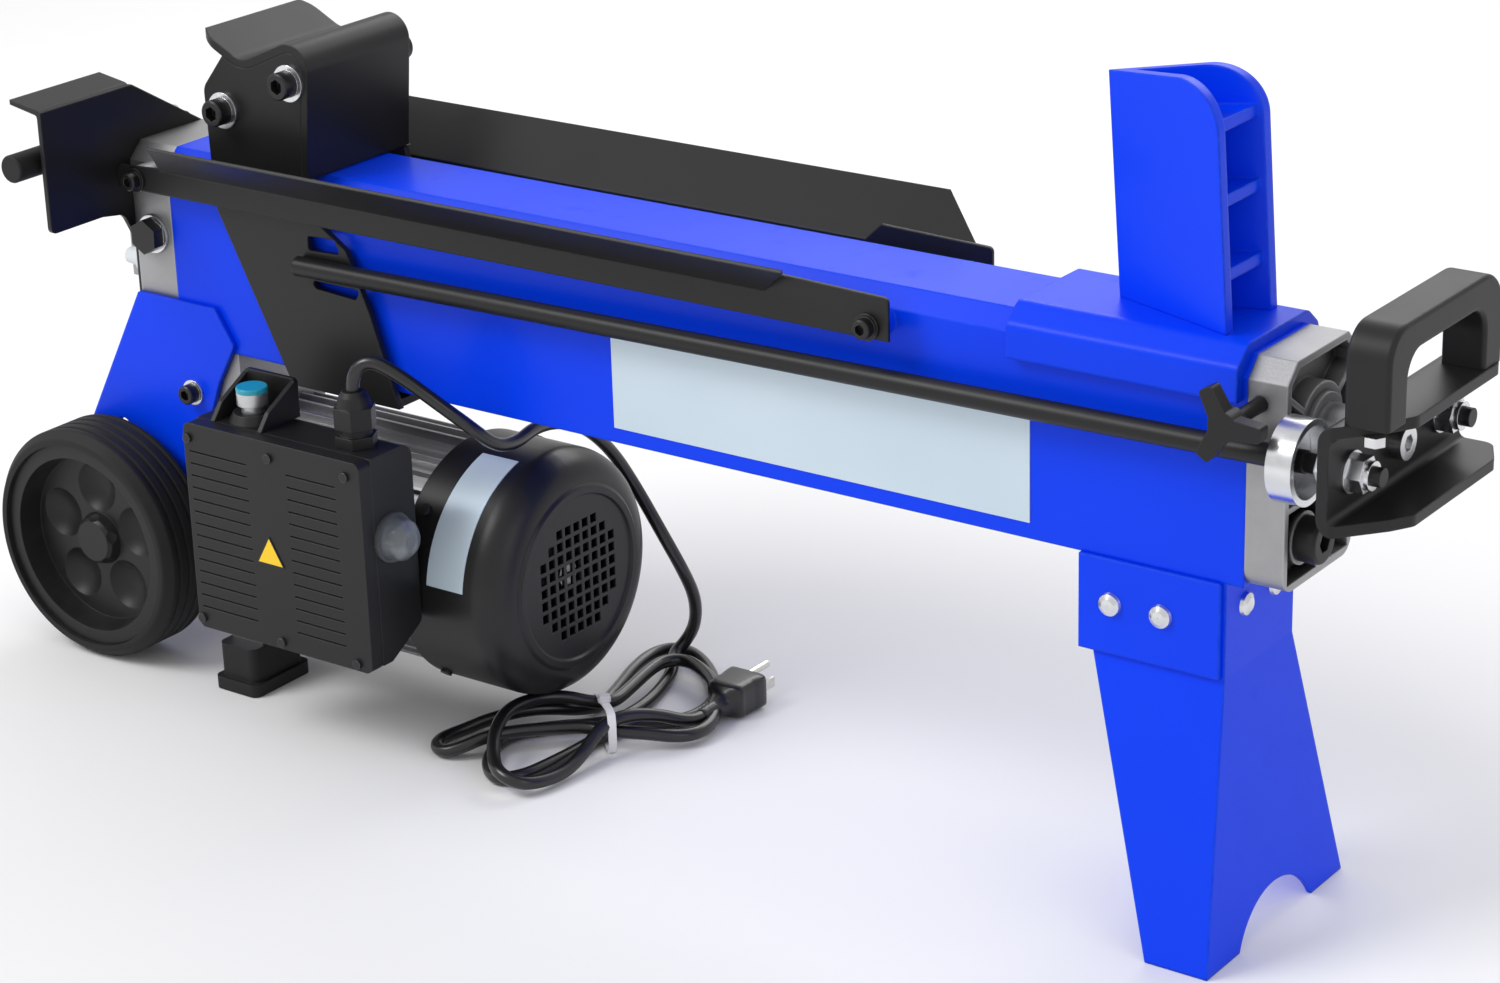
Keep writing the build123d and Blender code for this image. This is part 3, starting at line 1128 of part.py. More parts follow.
# ---- assembly -----------------------------------------------------------------------------
def make_all():
    near_wheel, near_tyre = make_wheel(), make_tyre()
    return {
        "beam": make_beam(), "rear_cover": make_rear_cover(), "front_cover": make_front_cover(),
        "cylinder_tube": make_cylinder_tube(), "rod_bush": make_rod_bush(),
        "cover_bolts": make_cover_bolts(), "wedge": make_wedge(), "wedge_saddle": make_wedge_saddle(),
        "side_rails": make_side_rails(), "socket_bolts": make_socket_bolts(),
        "wheel_brackets": make_wheel_brackets(),
        "axle": make_axle(), "leg": make_leg(), "leg_collar": make_leg_collar(),
        "leg_bolts": make_leg_bolts(), "motor_housing": make_motor_housing(),
        "fan_cover": make_fan_cover(), "housing_screws": make_housing_screws(),
        "motor_foot": make_motor_foot(), "foot_neck": make_foot_neck(), "pump_body": make_pump_body(),
        "switch_box": make_switch_box(), "box_cover": make_box_cover(),
        "button_guard": make_button_guard(),
        "reset_boot": make_reset_boot(), "cord_gland": make_cord_gland(),
        "lever_guard": make_lever_guard(), "valve_block": make_valve_block(),
        "relief_cap": make_relief_cap(), "labels": make_labels(),
        "pusher": make_pusher(), "carriage": make_carriage(), "pusher_bolts": make_pusher_bolts(),
        "pull_rods": make_pull_rods(), "stop_collar": make_stop_collar(), "yoke": make_yoke(),
        "yoke_fasteners": make_yoke_fasteners(), "handle": make_handle(),
        "piston_rod": make_piston_rod(), "piston": make_piston(),
        "control_lever": make_control_lever(), "lever_grip": make_lever_grip(),
        "valve_spool": make_valve_spool(), "switch_button": make_switch_button(),
        "reset_button": make_reset_button(), "near_wheel": near_wheel, "near_tyre": near_tyre,
        "far_wheel": mirrored(near_wheel), "far_tyre": mirrored(near_tyre), "rotor": make_rotor(),
        "cooling_fan": make_cooling_fan(), "drive_gear": make_drive_gear(),
        "driven_gear": make_driven_gear(), "bleed_knob": make_bleed_knob(),
        "dipstick": make_dipstick(), "power_cord": make_power_cord(), "cord_hank": make_cord_hank(),
        "cord_tie": make_cord_tie(), "plug": make_plug(), "plug_pins": make_plug_pins(),
    }


CORD_NODES = ("power_cord", "cord_hank", "cord_tie", "plug", "plug_pins")


def footprint_middle(nodes):
    """The middle of the machine's plan, without its cord, and its lowest point."""
    boxes = [shape.bounding_box() for name, shape in nodes.items() if name not in CORD_NODES]
    low = [min(getattr(b.min, k) for b in boxes) for k in "XYZ"]
    high = [max(getattr(b.max, k) for b in boxes) for k in "XYZ"]
    return (low[0] + high[0]) / 2, (low[1] + high[1]) / 2, low[2]


def write_all(nodes):
    os.makedirs("parts", exist_ok=True)
    x, y, z = footprint_middle(nodes)
    print("origin is at", round(x, 3), round(y, 3), round(z, 3), "of the drawing frame")
    for name, shape in nodes.items():
        export_step(shape.moved(Location((-x, -y, -z))), f"parts/{name}.step")


write_all(make_all())
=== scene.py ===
import json
import math

import bmesh
import bpy
from mathutils import Matrix, Vector


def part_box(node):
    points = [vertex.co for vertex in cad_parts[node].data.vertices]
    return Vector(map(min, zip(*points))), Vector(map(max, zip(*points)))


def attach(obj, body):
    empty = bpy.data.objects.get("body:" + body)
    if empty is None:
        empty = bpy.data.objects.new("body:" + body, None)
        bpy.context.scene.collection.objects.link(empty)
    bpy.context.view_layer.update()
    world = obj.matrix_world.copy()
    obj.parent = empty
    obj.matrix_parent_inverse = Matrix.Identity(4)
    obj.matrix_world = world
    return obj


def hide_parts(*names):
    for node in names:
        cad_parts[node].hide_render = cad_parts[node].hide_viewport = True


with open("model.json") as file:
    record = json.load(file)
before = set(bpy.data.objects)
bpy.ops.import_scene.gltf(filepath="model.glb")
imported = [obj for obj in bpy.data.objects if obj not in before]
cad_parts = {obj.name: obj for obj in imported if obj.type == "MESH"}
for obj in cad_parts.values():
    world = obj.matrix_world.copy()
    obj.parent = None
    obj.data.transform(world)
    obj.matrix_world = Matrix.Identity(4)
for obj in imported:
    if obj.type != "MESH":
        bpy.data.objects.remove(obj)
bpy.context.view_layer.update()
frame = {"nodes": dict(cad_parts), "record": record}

bl_info = {
    "name": "Log splitter",
    "version": (1, 0, 0),
    "blender": (4, 5, 0),
    "location": "View3D > Sidebar > Log splitter",
    "description": "Finishes and detailed pieces of an electric log splitter",
    "category": "Object",
}

MM = 0.001

# Sockets of Blender's colour mix node, which has one set for each kind of data.
MIX_FACTOR, MIX_FIRST, MIX_SECOND, MIX_RESULT = 0, 6, 7, 2
BEVEL_SAMPLES = 4
EDGE_GAIN = 5.0


# ---- shader maths ---------------------------------------------------------------------------
class Value:
    """A socket, with arithmetic that adds Math nodes."""

    def __init__(self, paint, socket):
        self.paint, self.socket = paint, socket

    def maths(self, operation, *terms):
        return self.paint.maths(operation, *terms)

    def __add__(self, other):
        return self.maths("ADD", self, other)

    __radd__ = __add__

    def __sub__(self, other):
        return self.maths("SUBTRACT", self, other)

    def __rsub__(self, other):
        return self.maths("SUBTRACT", other, self)

    def __mul__(self, other):
        return self.maths("MULTIPLY", self, other)

    __rmul__ = __mul__

    def __truediv__(self, other):
        return self.maths("DIVIDE", self, other)

    def __rtruediv__(self, other):
        return self.maths("DIVIDE", other, self)

    def __gt__(self, other):
        return self.maths("GREATER_THAN", self, other)

    def __lt__(self, other):
        return self.maths("LESS_THAN", self, other)

    def clamp(self):
        """The same value, kept from 0 to 1."""
        settings = {"operation": "ADD", "use_clamp": True}
        return self.paint.node("ShaderNodeMath", settings, {0: self, 1: 0.0})


class Paint:
    """One material: a Principled shader and whatever is wired into it."""

    def __init__(self, name):
        self.material = bpy.data.materials.new(name)
        self.material.use_nodes = True
        self.tree = self.material.node_tree
        self.tree.nodes.clear()
        self.shader = self.tree.nodes.new("ShaderNodeBsdfPrincipled")
        out = self.tree.nodes.new("ShaderNodeOutputMaterial")
        self.tree.links.new(self.shader.outputs[0], out.inputs[0])
        self.place = self.node("ShaderNodeTexCoord", output="Object")

    def node(self, kind, settings=None, inputs=None, output=0):
        """Adds a node: its settings first, then the values or links of its sockets."""
        node = self.tree.nodes.new(kind)
        for key, value in (settings or {}).items():
            setattr(node, key, value)
        for key, value in (inputs or {}).items():
            self.put(node.inputs[key], value)
        return Value(self, node.outputs[output])

    def maths(self, operation, *terms):
        """A Math node of numbers and values."""
        return self.node("ShaderNodeMath", {"operation": operation}, dict(enumerate(terms)))

    def put(self, socket, value):
        """Links a value to a socket, or sets the socket to a number or a colour."""
        if isinstance(value, Value):
            self.tree.links.new(value.socket, socket)
        elif socket.type == "RGBA":
            socket.default_value = (*tuple(value)[:3], 1.0)
        else:
            socket.default_value = value

    def noise(self, scale, detail=3.0, roughness=0.5, stretch=None):
        """Noise from 0 to 1 in the piece's own metres; scale is features per metre."""
        at = self.place
        if stretch:
            at = self.node("ShaderNodeVectorMath", {"operation": "MULTIPLY"},
                           {0: self.place, 1: stretch})
        return self.node("ShaderNodeTexNoise", None, {
            "Vector": at, "Scale": scale, "Detail": detail, "Roughness": roughness}, "Fac")

    def axis(self, index):
        """The place along X, Y or Z, in the piece's own metres."""
        return self.node("ShaderNodeSeparateXYZ", None, {0: self.place}, index)

    def spread(self, value, low, high, to_low=0.0, to_high=1.0):
        """Maps a value from one range to another, and stops at its ends."""
        return self.node("ShaderNodeMapRange", {"clamp": True}, {
            "Value": value, "From Min": low, "From Max": high,
            "To Min": to_low, "To Max": to_high})

    def mix(self, factor, first, second):
        """A blend of two colours."""
        sockets = {MIX_FACTOR: factor, MIX_FIRST: first, MIX_SECOND: second}
        return self.node("ShaderNodeMix", {"data_type": "RGBA"}, sockets, MIX_RESULT)

    def edges(self, radius):
        """0 on flat faces and up to 1 on edges nearer than the radius."""
        soft = self.node("ShaderNodeBevel", {"samples": BEVEL_SAMPLES}, {"Radius": radius})
        flat = self.node("ShaderNodeNewGeometry", None, None, "Normal")
        along = self.node("ShaderNodeVectorMath", {"operation": "DOT_PRODUCT"},
                          {0: soft, 1: flat}, "Value")
        return ((1 - along) * EDGE_GAIN).clamp()

    def finish(self, bumps=(), round_edges=0.0, **inputs):
        """Sets the shader's sockets; bumps are (height, strength, distance), on softened edges."""
        normal = None
        if round_edges:
            normal = self.node("ShaderNodeBevel", {"samples": BEVEL_SAMPLES},
                               {"Radius": round_edges})
        for height, strength, distance in bumps:
            sockets = {"Height": height, "Strength": strength, "Distance": distance}
            if normal is not None:
                sockets["Normal"] = normal
            normal = self.node("ShaderNodeBump", None, sockets)
        if normal is not None:
            self.put(self.shader.inputs["Normal"], normal)
        for key, value in inputs.items():
            socket = key.replace("_", " ").title().replace("Ior", "IOR")
            self.put(self.shader.inputs[socket], value)
        return self.material


# ---- finishes -------------------------------------------------------------------------------
def blue_paint(settings):
    """Gloss powder coat: a faint orange peel, slow changes of tone, and edges lightened to a
    brighter blue, partly a painted highlight and partly rubbed paint.
    """
    paint = Paint("blue_paint")
    tone = paint.noise(9.0, detail=2.0)
    peel = paint.noise(420.0, detail=2.0, roughness=0.4)
    scuff = paint.spread(paint.noise(60.0, detail=6.0, roughness=0.65), 0.58, 0.75)
    chips_and_highlight = paint.spread(paint.noise(130.0, detail=4.0), 0.35, 0.7, to_low=0.05, to_high=0.5)
    base = paint.mix(tone, settings.blue, tuple(c * 0.88 for c in settings.blue))
    # Painted highlight, partly rubbed paint: every edge gets a lighter blue, stronger in noise
    # patches.
    base = paint.mix((paint.edges(0.0022) * chips_and_highlight).clamp(), base, (0.02, 0.16, 0.95))
    roughness = 0.30 + 0.10 * tone + 0.10 * scuff
    return paint.finish([(peel, 0.05, 0.0006)], round_edges=0.0022, base_color=base,
                        roughness=roughness, coat_weight=0.04, coat_roughness=0.12,
                        specular_ior_level=0.14)


def black_powder(settings):
    """Satin black powder coat with a fine pebble and greyed edges."""
    paint = Paint("black_powder")
    pebble = paint.noise(900.0, detail=2.0, roughness=0.5)
    cloud = paint.noise(14.0, detail=3.0)
    worn = paint.spread(paint.noise(150.0, detail=5.0, roughness=0.6), 0.40, 0.72)
    base = paint.mix(cloud, settings.black, tuple(c * 1.7 for c in settings.black))
    base = paint.mix((paint.edges(0.0016) * worn * 0.6).clamp(), base, (0.06, 0.06, 0.062))
    return paint.finish([(pebble, 0.12, 0.0003)], round_edges=0.0014, base_color=base,
                        roughness=0.36 + 0.12 * cloud, specular_ior_level=0.34)


def black_enamel(settings):
    """Smoother black stove enamel, as on a pressed motor cover."""
    paint = Paint("black_enamel")
    cloud = paint.noise(20.0, detail=3.0)
    dust = paint.spread(paint.noise(240.0, detail=6.0, roughness=0.7), 0.60, 0.80)
    base = paint.mix(cloud, settings.black, tuple(c * 1.5 for c in settings.black))
    base = paint.mix(dust * 0.10, base, (0.10, 0.10, 0.10))
    press = paint.noise(600.0, detail=2.0)
    return paint.finish([(press, 0.06, 0.0004)], round_edges=0.0012, base_color=base,
                        roughness=0.32 + 0.10 * cloud, specular_ior_level=0.4)


def black_plastic(settings):
    """Moulded black plastic with a spark-eroded grain and a painted highlight on its edges."""
    paint = Paint("black_plastic")
    grain = paint.node("ShaderNodeTexVoronoi", None, {"Vector": paint.place, "Scale": 1400.0},
                       "Distance")
    cloud = paint.noise(18.0, detail=3.0)
    base = paint.mix(cloud, settings.black, tuple(c * 1.8 for c in settings.black))
    # Painted highlight: every edge is lightened evenly to a dark grey.
    base = paint.mix((paint.edges(0.001) * 0.35).clamp(), base, (0.09, 0.09, 0.09))
    return paint.finish([(grain, 0.10, 0.0002)], round_edges=0.0011, base_color=base,
                        roughness=0.40 + 0.12 * cloud, specular_ior_level=0.34)


def rubber(settings, name, shine):
    """Black rubber with a fine grain and a grey bloom; shine is its roughness where it's clean."""
    paint = Paint(name)
    fine = paint.noise(1100.0, detail=3.0, roughness=0.6)
    bloom = paint.spread(paint.noise(45.0, detail=5.0, roughness=0.6), 0.45, 0.80)
    black = tuple(c * 1.2 for c in settings.black)
    base = paint.mix(bloom * 0.5, black, (0.024, 0.024, 0.0245))
    return paint.finish([(fine, 0.16, 0.0002)], round_edges=0.0010, base_color=base,
                        roughness=shine + 0.12 * bloom, specular_ior_level=0.35)


def cast_aluminium():
    """Sand-cast aluminium: a coarse skin, lines along Y, a painted highlight on the edges and
    painted shade in the hollows.
    """
    paint = Paint("cast_aluminium")
    grit = paint.noise(700.0, detail=5.0, roughness=0.65)
    stain = paint.noise(28.0, detail=5.0, roughness=0.6)
    lines = paint.noise(160.0, detail=2.0, roughness=0.5, stretch=(0.3, 14.0, 0.3))
    base = paint.mix(stain, (0.30, 0.30, 0.305), (0.44, 0.44, 0.45))
    # Painted shade: ambient occlusion darkens the hollows nearly to black in the base colour.
    painted_hollow_shade = paint.node("ShaderNodeAmbientOcclusion", {"samples": 4, "inside": False},
                        {"Distance": 0.012}, "AO")
    # Painted highlight: every edge is lightened evenly to a pale grey.
    base = paint.mix((paint.edges(0.002) * 0.7).clamp(), base, (0.60, 0.60, 0.61))
    base = paint.mix(paint.spread(painted_hollow_shade, 0.35, 0.85), (0.035, 0.035, 0.036), base)
    return paint.finish([(grit, 0.30, 0.0005), (lines, 0.10, 0.0003)], round_edges=0.0016,
                        base_color=base, metallic=0.75, roughness=0.42 + 0.16 * grit)


def motor_aluminium():
    """Extruded aluminium: drawn lines along the fins and a dull bloom between them."""
    paint = Paint("motor_aluminium")
    drawn = paint.noise(90.0, detail=3.0, roughness=0.6, stretch=(0.25, 18.0, 18.0))
    stain = paint.noise(22.0, detail=4.0)
    base = paint.mix(drawn, (0.30, 0.30, 0.305), (0.52, 0.52, 0.53))
    base = paint.mix(stain * 0.35, base, (0.22, 0.22, 0.225))
    return paint.finish([(drawn, 0.14, 0.0003)], round_edges=0.0006, base_color=base, metallic=0.85,
                        roughness=0.34 + 0.14 * stain)


def zinc_steel():
    """Bright zinc plate, a little cloudy."""
    paint = Paint("zinc_steel")
    cloud = paint.noise(120.0, detail=4.0, roughness=0.6)
    base = paint.mix(cloud, (0.62, 0.63, 0.65), (0.82, 0.83, 0.85))
    crystals = paint.noise(1500.0, detail=2.0)
    return paint.finish([(crystals, 0.05, 0.0002)], round_edges=0.0005, base_color=base,
                        metallic=1.0, roughness=0.18 + 0.14 * cloud)


def honed_steel():
    """Ground steel with fine turning marks round X."""
    paint = Paint("honed_steel")
    turning = paint.noise(60.0, detail=2.0, roughness=0.5, stretch=(60.0, 1.0, 1.0))
    base = paint.mix(turning, (0.40, 0.41, 0.42), (0.60, 0.61, 0.62))
    return paint.finish([(turning, 0.06, 0.0002)], round_edges=0.0006, base_color=base,
                        metallic=1.0, roughness=0.24 + 0.12 * turning)


def black_oxide():
    """Oiled black oxide on screws, worn to grey on the corners."""
    paint = Paint("black_oxide")
    patches = paint.spread(paint.noise(260.0, detail=4.0), 0.35, 0.65)
    worn = (paint.edges(0.0009) * patches).clamp()
    base = paint.mix(worn * 0.7, (0.018, 0.018, 0.019), (0.20, 0.20, 0.205))
    grain = paint.noise(900.0, detail=3.0)
    return paint.finish([(grain, 0.10, 0.0002)], round_edges=0.0006, base_color=base,
                        metallic=0.35, roughness=0.34 + 0.10 * paint.noise(90.0))


def washered_bolt(name, inner, outer):
    """Black bolts whose zinc washers lie between two distances, in mm, from the beam's middle."""
    paint = Paint(name)
    low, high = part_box("beam")
    across = paint.maths("ABSOLUTE", paint.axis(1) - (low.y + high.y) / 2)
    washer = (across > inner * MM) * (across < outer * MM)
    cloud = paint.noise(300.0, detail=4.0)
    worn = (paint.edges(0.0009) * paint.spread(cloud, 0.35, 0.65)).clamp()
    black = paint.mix(worn * 0.6, (0.012, 0.012, 0.0125), (0.16, 0.16, 0.165))
    zinc = paint.mix(cloud, (0.55, 0.56, 0.58), (0.80, 0.81, 0.83))
    return paint.finish([(cloud, 0.08, 0.0002)], round_edges=0.0006,
                        base_color=paint.mix(washer, black, zinc), metallic=0.3 + 0.6 * washer,
                        roughness=0.36 - 0.12 * washer)


# The warning triangle on the switch box, in mm from its cover's low corner. What is nearer the
# front than its depth is the triangle, and the rest of the labels are silver.
TRIANGLE_X, TRIANGLE_HALF = 63, 11
TRIANGLE_BOTTOM, TRIANGLE_TOP = 52.5, 71
TRIANGLE_DEPTH, TRIANGLE_BORDER = 0.2, 0.9


def silver_film():
    """Printed film in a pale silver blue; the small triangle is yellow with a dark border."""
    paint = Paint("plate_silver")
    fade = paint.noise(7.0, detail=2.0)
    flake = paint.noise(1600.0, detail=2.0)
    base = paint.mix(fade, (0.50, 0.62, 0.72), (0.66, 0.76, 0.83))
    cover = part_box("box_cover")[0]
    bottom, top = cover.z + TRIANGLE_BOTTOM * MM, cover.z + TRIANGLE_TOP * MM
    half, border = TRIANGLE_HALF * MM, TRIANGLE_BORDER * MM
    x, z = paint.axis(0) - (cover.x + TRIANGLE_X * MM), paint.axis(2)
    slant = math.hypot(half, top - bottom)
    sides = ((top - z) * half - paint.maths("ABSOLUTE", x) * (top - bottom)) / slant
    inside = (z > bottom + border) * (sides > border)
    yellow = paint.mix(inside, (0.01, 0.01, 0.01), (0.90, 0.58, 0.01))
    base = paint.mix(paint.axis(1) < cover.y + TRIANGLE_DEPTH * MM, base, yellow)
    return paint.finish([(flake, 0.03, 0.0001)], round_edges=0.0003, base_color=base, metallic=0.15,
                        roughness=0.34 + 0.06 * flake)


def clear_boot():
    """Clear moulded vinyl, slightly blue and not quite clean."""
    paint = Paint("clear_boot")
    smear = paint.noise(180.0, detail=3.0)
    base = paint.mix(smear, (0.80, 0.87, 0.94), (0.90, 0.94, 0.98))
    return paint.finish([(smear, 0.05, 0.0003)], base_color=base,
                        roughness=0.07 + 0.10 * smear, transmission_weight=0.85, ior=1.45,
                        alpha=0.55)


TEAL_HEIGHT = 3.2


def button_teal():
    """A glossy teal cap on a bright satin skirt."""
    paint = Paint("button_teal")
    top = paint.axis(2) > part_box("switch_button")[1].z - TEAL_HEIGHT * MM
    brushed = paint.noise(300.0, detail=3.0, roughness=0.6, stretch=(1.0, 1.0, 9.0))
    skirt = paint.mix(brushed, (0.45, 0.46, 0.47), (0.66, 0.67, 0.68))
    base = paint.mix(top, skirt, (0.015, 0.31, 0.42))
    return paint.finish([(brushed, 0.05, 0.0002)], round_edges=0.0005, base_color=base,
                        metallic=0.85 - 0.85 * top, roughness=0.30 - 0.10 * top)


def pale_plastic(name, colour):
    """Smooth pale plastic, a little uneven in tone."""
    paint = Paint(name)
    soft = paint.noise(200.0, detail=3.0)
    base = paint.mix(soft, colour, tuple(c * 0.90 for c in colour))
    return paint.finish([(soft, 0.05, 0.0002)], round_edges=0.0004, base_color=base,
                        roughness=0.30 + 0.08 * soft)


def cord_vinyl(settings):
    """Glossy black vinyl jacket, with faint waves where the cores press out."""
    paint = Paint("cord_rubber")
    wave = paint.noise(150.0, detail=2.0)
    fine = paint.noise(1200.0, detail=2.0)
    dark, light = (tuple(c * share for c in settings.black) for share in (0.8, 1.4))
    base = paint.mix(wave, dark, light)
    return paint.finish([(wave, 0.10, 0.0005), (fine, 0.05, 0.0001)], base_color=base,
                        roughness=0.26 + 0.10 * fine, coat_weight=0.2, coat_roughness=0.2)


def plated_brass():
    """Nickel-plated brass of the plug's pins."""
    paint = Paint("plated_brass")
    cloud = paint.noise(300.0, detail=3.0)
    base = paint.mix(cloud, (0.62, 0.60, 0.56), (0.80, 0.78, 0.74))
    return paint.finish([(cloud, 0.05, 0.0001)], round_edges=0.0003, base_color=base, metallic=1.0,
                        roughness=0.20 + 0.10 * cloud)


def cast_iron():
    """Grey cast iron of the piston."""
    paint = Paint("cast_iron_grey")
    grit = paint.noise(500.0, detail=4.0)
    base = paint.mix(grit, (0.14, 0.14, 0.14), (0.24, 0.24, 0.24))
    return paint.finish([(grit, 0.2, 0.0003)], round_edges=0.0008, base_color=base, metallic=0.8,
                        roughness=0.4 + 0.1 * grit)


def floor_paint(settings):
    """The studio's matt pale floor."""
    paint = Paint("studio_floor")
    soft = paint.noise(3.0, detail=2.0)
    base = paint.mix(soft, settings.floor, tuple(c * 0.985 for c in settings.floor))
    return paint.finish(base_color=base, roughness=0.75 + 0.05 * soft, specular_ior_level=0.2)


FINISHES = {}
# Nodes whose finish differs from their slot's.
OWN_FINISHES = {
    "housing_screws": "black_oxide", "cover_bolts": "cover_bolt", "pusher_bolts": "pusher_bolt",
    "socket_bolts": "socket_bolt",
}
# Where each bolt's washers start and end, in mm from the beam's middle.
BOLT_WASHERS = {"cover_bolt": (36.9, 39.05), "pusher_bolt": (44.9, 46.65),
                "socket_bolt": (40.4, 42.15)}
RUBBERS = {"black_rubber": 0.62, "tyre_rubber": 0.66, "wheel_plastic": 0.44, "reset_black": 0.4}
PALE_PLASTICS = {"white_cap": (0.70, 0.73, 0.76), "white_tie": (0.85, 0.85, 0.85)}


def make_finishes(settings):
    """Makes every finish, under its material slot or its name in OWN_FINISHES."""
    FINISHES.update({
        "blue_paint": blue_paint(settings), "black_powder": black_powder(settings),
        "black_enamel": black_enamel(settings), "black_plastic": black_plastic(settings),
        "cord_rubber": cord_vinyl(settings), "cast_aluminium": cast_aluminium(),
        "motor_aluminium": motor_aluminium(), "zinc_steel": zinc_steel(),
        "honed_steel": honed_steel(), "black_oxide": black_oxide(), "plate_silver": silver_film(),
        "clear_boot": clear_boot(), "button_teal": button_teal(), "plated_brass": plated_brass(),
        "cast_iron_grey": cast_iron(),
    })
    FINISHES.update({name: rubber(settings, name, shine) for name, shine in RUBBERS.items()})
    FINISHES.update({name: pale_plastic(name, colour) for name, colour in PALE_PLASTICS.items()})
    FINISHES.update({name: washered_bolt(name, *reach) for name, reach in BOLT_WASHERS.items()})


# ---- mesh helpers ---------------------------------------------------------------------------
def new_piece(name, mesh, finish, body, *replaced, sharp=40.0):
    """Links a mesh, gives it a finish and smooth faces, and lets it ride in place of nodes."""
    piece = bpy.data.objects.new(name, mesh)
    bpy.context.scene.collection.objects.link(piece)
    mesh.materials.append(FINISHES[finish])
    mesh.shade_smooth()
    mesh.set_sharp_from_angle(angle=math.radians(sharp))
    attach(piece, body)
    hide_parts(*replaced)
    return piece


# ---- cord -----------------------------------------------------------------------------------
CORD_DIAMETER = 0.008

# The free stretch, from the middle of the gland's mouth: X, Y and the height above the floor.
FREE_ROUTE = [
    (0, 0, 228), (0, 0, 238), (9, 5, 247), (25, 10, 240), (45, 21, 222), (57, 35, 205),
    (60, 52, 189), (58, 73, 184), (52, 98, 185), (50, 123, 180), (48, 149, 168), (49, 173, 145),
    (56, 186, 118), (74, 187, 91), (85, 193, 66), (86, 202, 46), (82, 207, 27), (76, 205, 14),
]

# The tied hank, from the middle of its tie: passes through the tie, and the loops between them.
HANK_AT = (92, 98)
HANK_ROUTE = [
    (-21, 98, 6), (-9, 82, 4.2), (-2, 66, 4.2), (5, 44, 4.2), (8, 22, 4.2), (6, 4, 4.2),
    (-4, -8, 4.2), (-17, -19, 4.2), (-29, -32, 4.2), (-35, -48, 4.2), (-29, -70, 4.2),
    (-18, -86, 4.2), (-3, -96, 4.2), (7, -84, 4.2), (10, -64, 4.2), (12, -40, 4.2), (12, -20, 4.2),
    (15, -4, 4.2), (20, 7, 4.2), (31, 17, 4.2), (41, 30, 4.2), (43, 46, 4.2), (37, 65, 4.2),
    (22, 84, 4.2), (4, 100, 4.2), (-14, 111, 4.2), (-30, 111, 4.2), (-36, 95, 4.2), (-31, 70, 4.2),
    (-22, 45, 4.2), (-14, 20, 4.6), (-18, 4, 6), (-27, -12, 11), (-38, -25, 12.5), (-53, -41, 9),
    (-62, -54, 5), (-67, -69, 4.2), (-63, -80, 4.2), (-53, -84, 4.2), (-43, -78, 8),
    (-34, -67, 12.6), (-24, -53, 12.8), (-7, -37, 12.8), (8, -25, 12.8), (24, -22, 12.6),
    (42, -8, 10), (54, 0, 8), (62, 11, 7), (61, 28, 7), (52, 47, 9), (38, 64, 12.6), (18, 78, 12.6),
    (0, 85, 12.6), (-11, 77, 12.6), (-10, 60, 12.6), (-4, 34, 12.6), (1, 10, 12.8), (-9, 0, 15),
    (-21, -9, 19.4), (-32, -24, 21), (-36, -44, 21), (-25, -70, 20), (-9, -91, 14), (4, -102, 12.8),
    (17, -101, 9), (23, -88, 6), (26, -69, 5), (25, -50, 9), (24, -36, 17), (26, -22, 21),
    (32, -11, 21), (41, 2, 18), (50, 14, 12), (53, 24, 9.4), (53, 30, 9.4),
]
CORD_ORDER = 3              # of the spline; it ends at its first and last points
CORD_STEPS = 8              # along the spline, between its points
CORD_ROUNDNESS = 5


def gland_mouth():
    """X and Y of the middle of the gland."""
    low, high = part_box("cord_gland")
    return (low.x + high.x) / 2, (low.y + high.y) / 2


def hank_middle():
    """The middle of the hank's tie, on the floor."""
    x, y = gland_mouth()
    return Vector((x + HANK_AT[0] * MM, y + HANK_AT[1] * MM, 0))


def cord_route():
    """The cord's points, from the gland's mouth to the plug."""
    x0, y0 = gland_mouth()
    tie = hank_middle()
    route = [Vector((x0 + x * MM, y0 + y * MM, z * MM)) for x, y, z in FREE_ROUTE]
    return route + [tie + Vector((x, y, z)) * MM for x, y, z in HANK_ROUTE]


def make_cord():
    """The whole lead as one smooth spline, from the gland's mouth into the plug's neck."""
    route = cord_route()
    curve = bpy.data.curves.new("mains_cord", "CURVE")
    curve.dimensions = "3D"
    spline = curve.splines.new("NURBS")
    spline.points.add(len(route) - 1)
    for point, place in zip(spline.points, route):
        point.co = (*place, 1.0)
    spline.order_u = CORD_ORDER
    spline.use_endpoint_u = True
    curve.resolution_u = CORD_STEPS
    curve.bevel_depth = CORD_DIAMETER / 2
    curve.bevel_resolution = CORD_ROUNDNESS
    curve.use_fill_caps = True
    curve.materials.append(FINISHES["cord_rubber"])
    cord = bpy.data.objects.new("mains_cord", curve)
    bpy.context.scene.collection.objects.link(cord)
    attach(cord, "root")
    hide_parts("power_cord", "cord_hank")
    return cord


# The tie round the bundle: along the line that it is drawn across, and up, from its middle.
TIE_LINE = Vector((0.731, -0.682, 0))
TIE_LOOP = [
    (-24, 2), (-25, 6), (-22, 11), (-8, 18.5), (14, 22), (32, 26.2), (38, 26), (40, 21), (40, 9),
    (36, 1.2), (20, 0.3), (-18, 0.3),
]
TIE_WIDTH, TIE_THICK = 5.0, 1.1
TIE_ABOVE_FLOOR = 0.2
# The lock: where its middle is, its size along the line, across it and up, and its round edges.
LOCK_ALONG, LOCK_UP = 12, 24.6
LOCK_SIZE = (7, 7.5, 4.5)
LOCK_EDGE = 0.8


